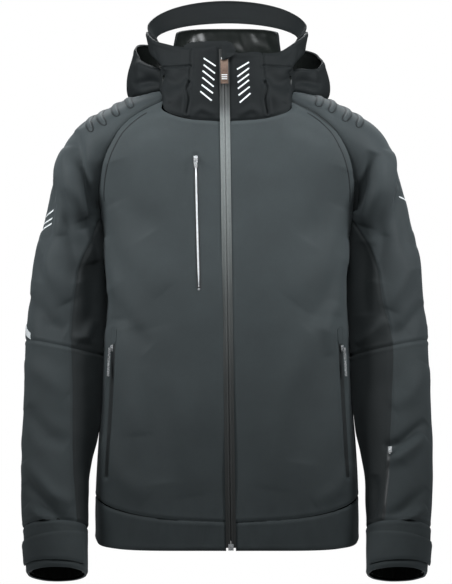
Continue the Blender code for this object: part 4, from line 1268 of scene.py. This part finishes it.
def solid_piece(name, shapes, centre, axes, finish, body, node=None):
    """One small hard part made of rounded blocks and turned studs, in its own axes."""
    whole = bmesh.new()
    for kind, size, offset, bevel in shapes:
        shape = bmesh.new()
        if kind == "block":
            bmesh.ops.create_cube(shape, size=1.0, matrix=Matrix.Diagonal((*size, 1)))
        else:
            bmesh.ops.create_cone(shape, cap_ends=True, segments=28, radius1=size[0] / 2,
                                  radius2=size[0] / 2, depth=size[1],
                                  matrix=Matrix.Rotation(math.pi / 2, 4, "X"))
        edges = [edge for edge in shape.edges if edge.is_manifold and edge.calc_face_angle() > 0.5]
        bmesh.ops.bevel(shape, geom=edges, offset=bevel, segments=3, affect="EDGES", profile=0.6)
        bmesh.ops.translate(shape, verts=shape.verts, vec=Vector(offset))
        bmesh.ops.triangulate(shape, faces=[face for face in shape.faces if len(face.verts) > 4])
        mesh = bpy.data.meshes.new("shape")
        shape.to_mesh(mesh)
        shape.free()
        whole.from_mesh(mesh)
        bpy.data.meshes.remove(mesh)
    place = Matrix.Translation(Vector(centre)) @ Matrix(np.array(axes).T.tolist()).to_4x4()
    whole.transform(place)
    piece = object_of(whole, name)
    piece.data.materials.append(finish)
    piece.data.shade_smooth()
    piece.data.set_sharp_from_angle(angle=math.radians(35))
    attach(piece, body)
    if node:
        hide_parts(node)


def zip_axes(slide, swing=None, out=None):
    up = -joint_axis(slide)
    side = joint_axis(swing) if swing else np.cross(out, up)
    side = side / np.linalg.norm(side)
    return side, np.cross(up, side), up


def slider_shapes(width, depth, height):
    """Plate, crown and bridge of a zip slider."""
    return [
        ("block", (width, depth * 0.45, height), (0, -depth * 0.25, 0), 0.0006),
        ("block", (width * 0.72, depth * 0.45, height * 0.72), (0, 0, 0), 0.0005),
        ("block", (width * 0.30, depth * 0.50, height * 0.62), (0, depth * 0.30, 0), 0.0004),
    ]


def make_main_hardware():
    axes = zip_axes("main_zip_slide", "main_puller_swing")
    solid_piece("front_slider", slider_shapes(0.0090, 0.0036, 0.0120), node_middle("main_slider"), axes,
                METAL, "main_slider", "main_slider")
    plate = [
        ("block", (0.0100, 0.0014, 0.0350), (0, 0, 0), 0.0006),
        ("block", (0.0018, 0.0022, 0.0368), (-0.0048, 0, 0), 0.0006),
        ("block", (0.0018, 0.0022, 0.0368), (0.0048, 0, 0), 0.0006),
        ("block", (0.0104, 0.0022, 0.0022), (0, 0, 0.0172), 0.0006),
        ("block", (0.0104, 0.0022, 0.0022), (0, 0, -0.0172), 0.0006),
        ("stud", (0.0056, 0.0020), (0, 0.0002, 0.0035), 0.0003),
    ]
    centre = node_middle("main_puller")
    solid_piece("front_puller", plate, centre, axes, COPPER, "main_puller", "main_puller")
    heights = [-0.0052 - 0.0030 * step for step in range(3)]
    bars = [("block", (0.0086, 0.0020, 0.0013), (0, 0.0006, height), 0.0004) for height in heights]
    solid_piece("front_puller_bars", bars, centre, axes, FILM, "main_puller")
    box = [
        ("block", (0.0080, 0.0020, 0.0098), (0, 0, 0), 0.0007),
        ("block", (0.0052, 0.0012, 0.0062), (0, 0.0007, -0.0006), 0.0005),
    ]
    solid_piece("bottom_box", box, node_middle("zip_bottom_box"), axes, METAL, "torso", "zip_bottom_box")


def make_pocket_hardware(prefix, suffix, length):
    axes = zip_axes(prefix + "_zip_slide" + suffix, prefix + "_puller_swing" + suffix)
    slider, puller = prefix + "_slider" + suffix, prefix + "_puller" + suffix
    solid_piece("metal_" + slider, slider_shapes(0.0060, 0.0026, 0.0100), node_middle(slider), axes, METAL,
                slider, slider)
    half = length / 2
    tab = [
        ("block", (0.0013, 0.0016, length * 0.46), (-0.0018, 0, half * 0.52), 0.0004),
        ("block", (0.0013, 0.0016, length * 0.46), (0.0018, 0, half * 0.52), 0.0004),
        ("block", (0.0049, 0.0018, length * 0.10), (0, 0, half * 0.90), 0.0005),
        ("block", (0.0049, 0.0018, length * 0.52), (0, 0, -half * 0.46), 0.0006),
    ]
    solid_piece("metal_" + puller, tab, node_middle(puller), axes, METAL, puller, puller)


def make_main_tapes():
    """Coated tapes, each rising to a bead where the two meet."""
    share = np.linspace(0, 1, 13)[None, :]
    z = np.linspace(0.0195, -0.7265, 190)[:, None]
    for sign in (-1, 1):
        x = zip_x(z) + sign * (0.00015 + 0.0074 * share)
        bead = 0.0009 * np.exp(-((share - 0.16) / 0.13) ** 2)
        bead += 0.0003 * np.exp(-((share - 0.75) / 0.1) ** 2)
        dip = 0.0006 * np.exp(-(share / 0.05) ** 2)
        points = points_of(x, front_y(z) - 0.0002 - bead + dip, z)
        piece = strip_piece("coated_tape_" + side_sign(sign), points, points + BEHIND, [TAPE, TAPE_DARK],
                            0.0011, "torso")
        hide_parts("main_zip_tape_" + side_sign(sign))


def make_chest_zip(front):
    path = [(-0.0470, -0.1420), (-0.0450, -0.2350), (-0.0420, -0.3400)]
    welt = ribbon("chest_welt", front, path, 0.0078, 0.0002, 0.0006, TAPE_DARK, "torso", crown=0.0003)
    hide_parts("chest_zip_tape")
    line = [(-0.0469, -0.1500), (-0.0450, -0.2350), (-0.0421, -0.3370)]
    ribbon("chest_coil", welt, line, 0.0026, 0.0003, 0.0006, COIL, "torso", crown=0.0006, taper=0.030)
    stop, normal = cast(welt, -0.0420, -0.3385)
    stop = stop - np.array([0, 0, 0.0026])
    axes = zip_axes("chest_zip_slide", "chest_puller_swing")
    solid_piece("chest_zip_stop", [("stud", (0.0034, 0.0012), (0, 0.0006, 0), 0.0003)],
                stop + normal * 0.0006, axes, METAL, "torso")
    make_pocket_hardware("chest", "", 0.0140)


def make_topstitch(front, sign):
    """Stitch line beside the raglan seam."""
    path = [(sign * (seam_x(z) - 0.0075), z - 0.0035) for z in np.linspace(-0.072, -0.205, 30)]
    ribbon("topstitch_" + side_sign(sign), front, path, 0.0014, 0.0003, 0.0006, BINDING, "torso", steps=60)


def make_hand_zip(front, sign):
    side = side_sign(sign)
    path = [(sign * x, z) for x, z in ((0.1700, -0.412), (0.1755, -0.520), (0.1815, -0.623))]
    welt = ribbon("hand_welt_" + side, front, path, 0.0060, 0.0000, 0.0010, TAPE_DARK, "torso",
                  crown=0.0003)
    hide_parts("hand_zip_tape_" + side)
    garage = [(sign * 0.1690, -0.398), (sign * 0.1702, -0.424)]
    ribbon("hand_garage_" + side, front, garage, 0.0064, 0.0008, 0.0010, SHELL, "torso", crown=0.0006,
           taper=0.004)
    make_pocket_hardware("hand", "_" + side, 0.0440)


def make_forearm_zip(sleeve):
    path = [(0.2430, -0.584), (0.2390, -0.640), (0.2335, -0.692)]
    welt = ribbon("forearm_welt", sleeve, path, 0.0050, 0.0001, 0.0008, TAPE_DARK, "forearm_left",
                  crown=0.0002)
    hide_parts("forearm_zip_tape")
    axes = zip_axes("forearm_zip_slide", out=np.array([-0.2, -1.0, -0.28]))
    pull = ("block", (0.0030, 0.0010, 0.0085), (0, 0.0014, -0.0030), 0.0004)
    tab = slider_shapes(0.0060, 0.0026, 0.0090) + [pull]
    solid_piece("metal_forearm_slider", tab, node_middle("forearm_slider"), axes, METAL, "forearm_slider",
                "forearm_slider")


def make_hang_loop():
    """The loop keeps its CAD shape and takes the binding's weave."""
    loop = frame["nodes"]["hang_loop"]
    for slot in loop.material_slots:
        slot.material = BINDING


def build_all():
    fronts, collars, uppers, lowers = {}, {}, {}, {}
    for sign in (-1, 1):
        fronts[sign] = make_front(sign)
        make_side(sign)
        uppers[sign] = make_upper_sleeve(sign)
        lowers[sign] = make_lower_sleeve(sign)
        make_cuff(sign)
        make_strap(sign)
        collars[sign] = make_collar(sign)
    make_back()
    make_hem()
    make_linings()
    make_seam_allowances()
    make_facing()
    make_collar_back()
    make_brim()
    make_crown()
    make_chin_flap()
    make_hang_loop()
    bpy.context.view_layer.update()
    make_bars(collars)
    make_ribs(uppers)
    make_sleeve_marks(uppers)
    make_main_tapes()
    make_main_hardware()
    make_chest_zip(fronts[-1])
    for sign in (-1, 1):
        make_topstitch(fronts[sign], sign)
        make_hand_zip(fronts[sign], sign)
    make_forearm_zip(lowers[1])


# ---------------------------------------------------------------- studio
WORLD_LIGHT = 0.030
GLOSSY_LIGHT = 0.06


def make_world():
    """White backdrop, and a weaker light from it on the jacket."""
    world = bpy.data.worlds.new("studio")
    world.use_nodes = True
    tree = world.node_tree
    soft = tree.nodes["Background"]
    set_inputs(soft, {"Color": (0.93, 0.98, 1.0, 1), "Strength": WORLD_LIGHT})
    seen = add_node(tree, "Background", {"Color": (1, 1, 1, 1), "Strength": 1.0})
    glossy = add_node(tree, "LightPath", {}, "Is Glossy Ray")
    share = {0: glossy, 1: GLOSSY_LIGHT, 2: glossy.node.outputs["Is Camera Ray"]}
    share = add_node(tree, "Math", share, operation="MULTIPLY_ADD")
    both = add_node(tree, "MixShader", {"Fac": share, 1: soft.outputs["Background"], 2: seen})
    set_inputs(tree.nodes["World Output"], {"Surface": both})
    bpy.context.scene.world = world


FLOOR_Z = -0.95
FLOOR_RADIUS = 2.4


def make_floor():
    """A pale round floor that glows only for the camera, so that it meets the white backdrop."""
    shape = bmesh.new()
    bmesh.ops.create_circle(shape, cap_ends=True, segments=96, radius=FLOOR_RADIUS)
    stage = object_of(shape, "floor")
    stage.location = (0, 0, FLOOR_Z)
    pale = bpy.data.materials.new("pale_floor")
    pale.use_nodes = True
    tree = pale.node_tree
    glow = {0: add_node(tree, "LightPath", {}, "Is Camera Ray"), 1: 0.7, 2: 0.03}
    set_inputs(shader_of(pale), {
        "Base Color": (0.85, 0.85, 0.85, 1),
        "Roughness": 0.9,
        "Emission Color": (1, 1, 1, 1),
        "Emission Strength": add_node(tree, "Math", glow, operation="MULTIPLY_ADD"),
    })
    stage.data.materials.append(pale)


# Place, height aimed at, spread in degrees, size and power of each soft box
LAMPS = {
    "key": ((0.0, -1.15, 0.80), -0.04, 60, 0.8, 2.6),
    "side_right": ((-1.40, -0.70, 0.42), -0.06, 60, 0.6, 3.6),
    "side_left": ((1.40, -0.70, 0.42), -0.06, 60, 0.6, 3.5),
    "back": ((0.0, 1.5, 1.1), -0.10, 80, 1.2, 8.0),
}


def make_lamps():
    """Soft boxes above the jacket, each turned to a height on it, so that the light falls off downwards."""
    for name, (place, height, spread, size, power) in LAMPS.items():
        lamp = bpy.data.lights.new(name, "AREA")
        lamp.energy = power
        lamp.size = size
        lamp.spread = math.radians(spread)
        lamp.color = (0.95, 0.98, 1.0)
        holder = bpy.data.objects.new(name, lamp)
        holder.location = place
        aim = Vector((0, -0.05, height)) - Vector(place)
        holder.rotation_euler = aim.to_track_quat("-Z", "Y").to_euler()
        bpy.context.scene.collection.objects.link(holder)


def make_studio():
    bpy.context.scene.view_settings.view_transform = "Standard"
    make_world()
    make_floor()
    make_lamps()


VIEW_MIDDLE = (-0.0015, -0.16, -0.345)
VIEW_HEIGHT = 0.876
CAMERA_AWAY = 7.0


def make_camera():
    lens = bpy.data.cameras.new("camera")
    lens.sensor_width = 36.0
    lens.lens = lens.sensor_width * CAMERA_AWAY / VIEW_HEIGHT
    lens.clip_end = 50
    camera = bpy.data.objects.new("camera", lens)
    camera.location = (VIEW_MIDDLE[0], VIEW_MIDDLE[1] - CAMERA_AWAY, VIEW_MIDDLE[2])
    camera.rotation_euler = (math.pi / 2, 0, 0)
    bpy.context.scene.collection.objects.link(camera)
    bpy.context.scene.camera = camera


make_camera()
make_studio()
build_all()
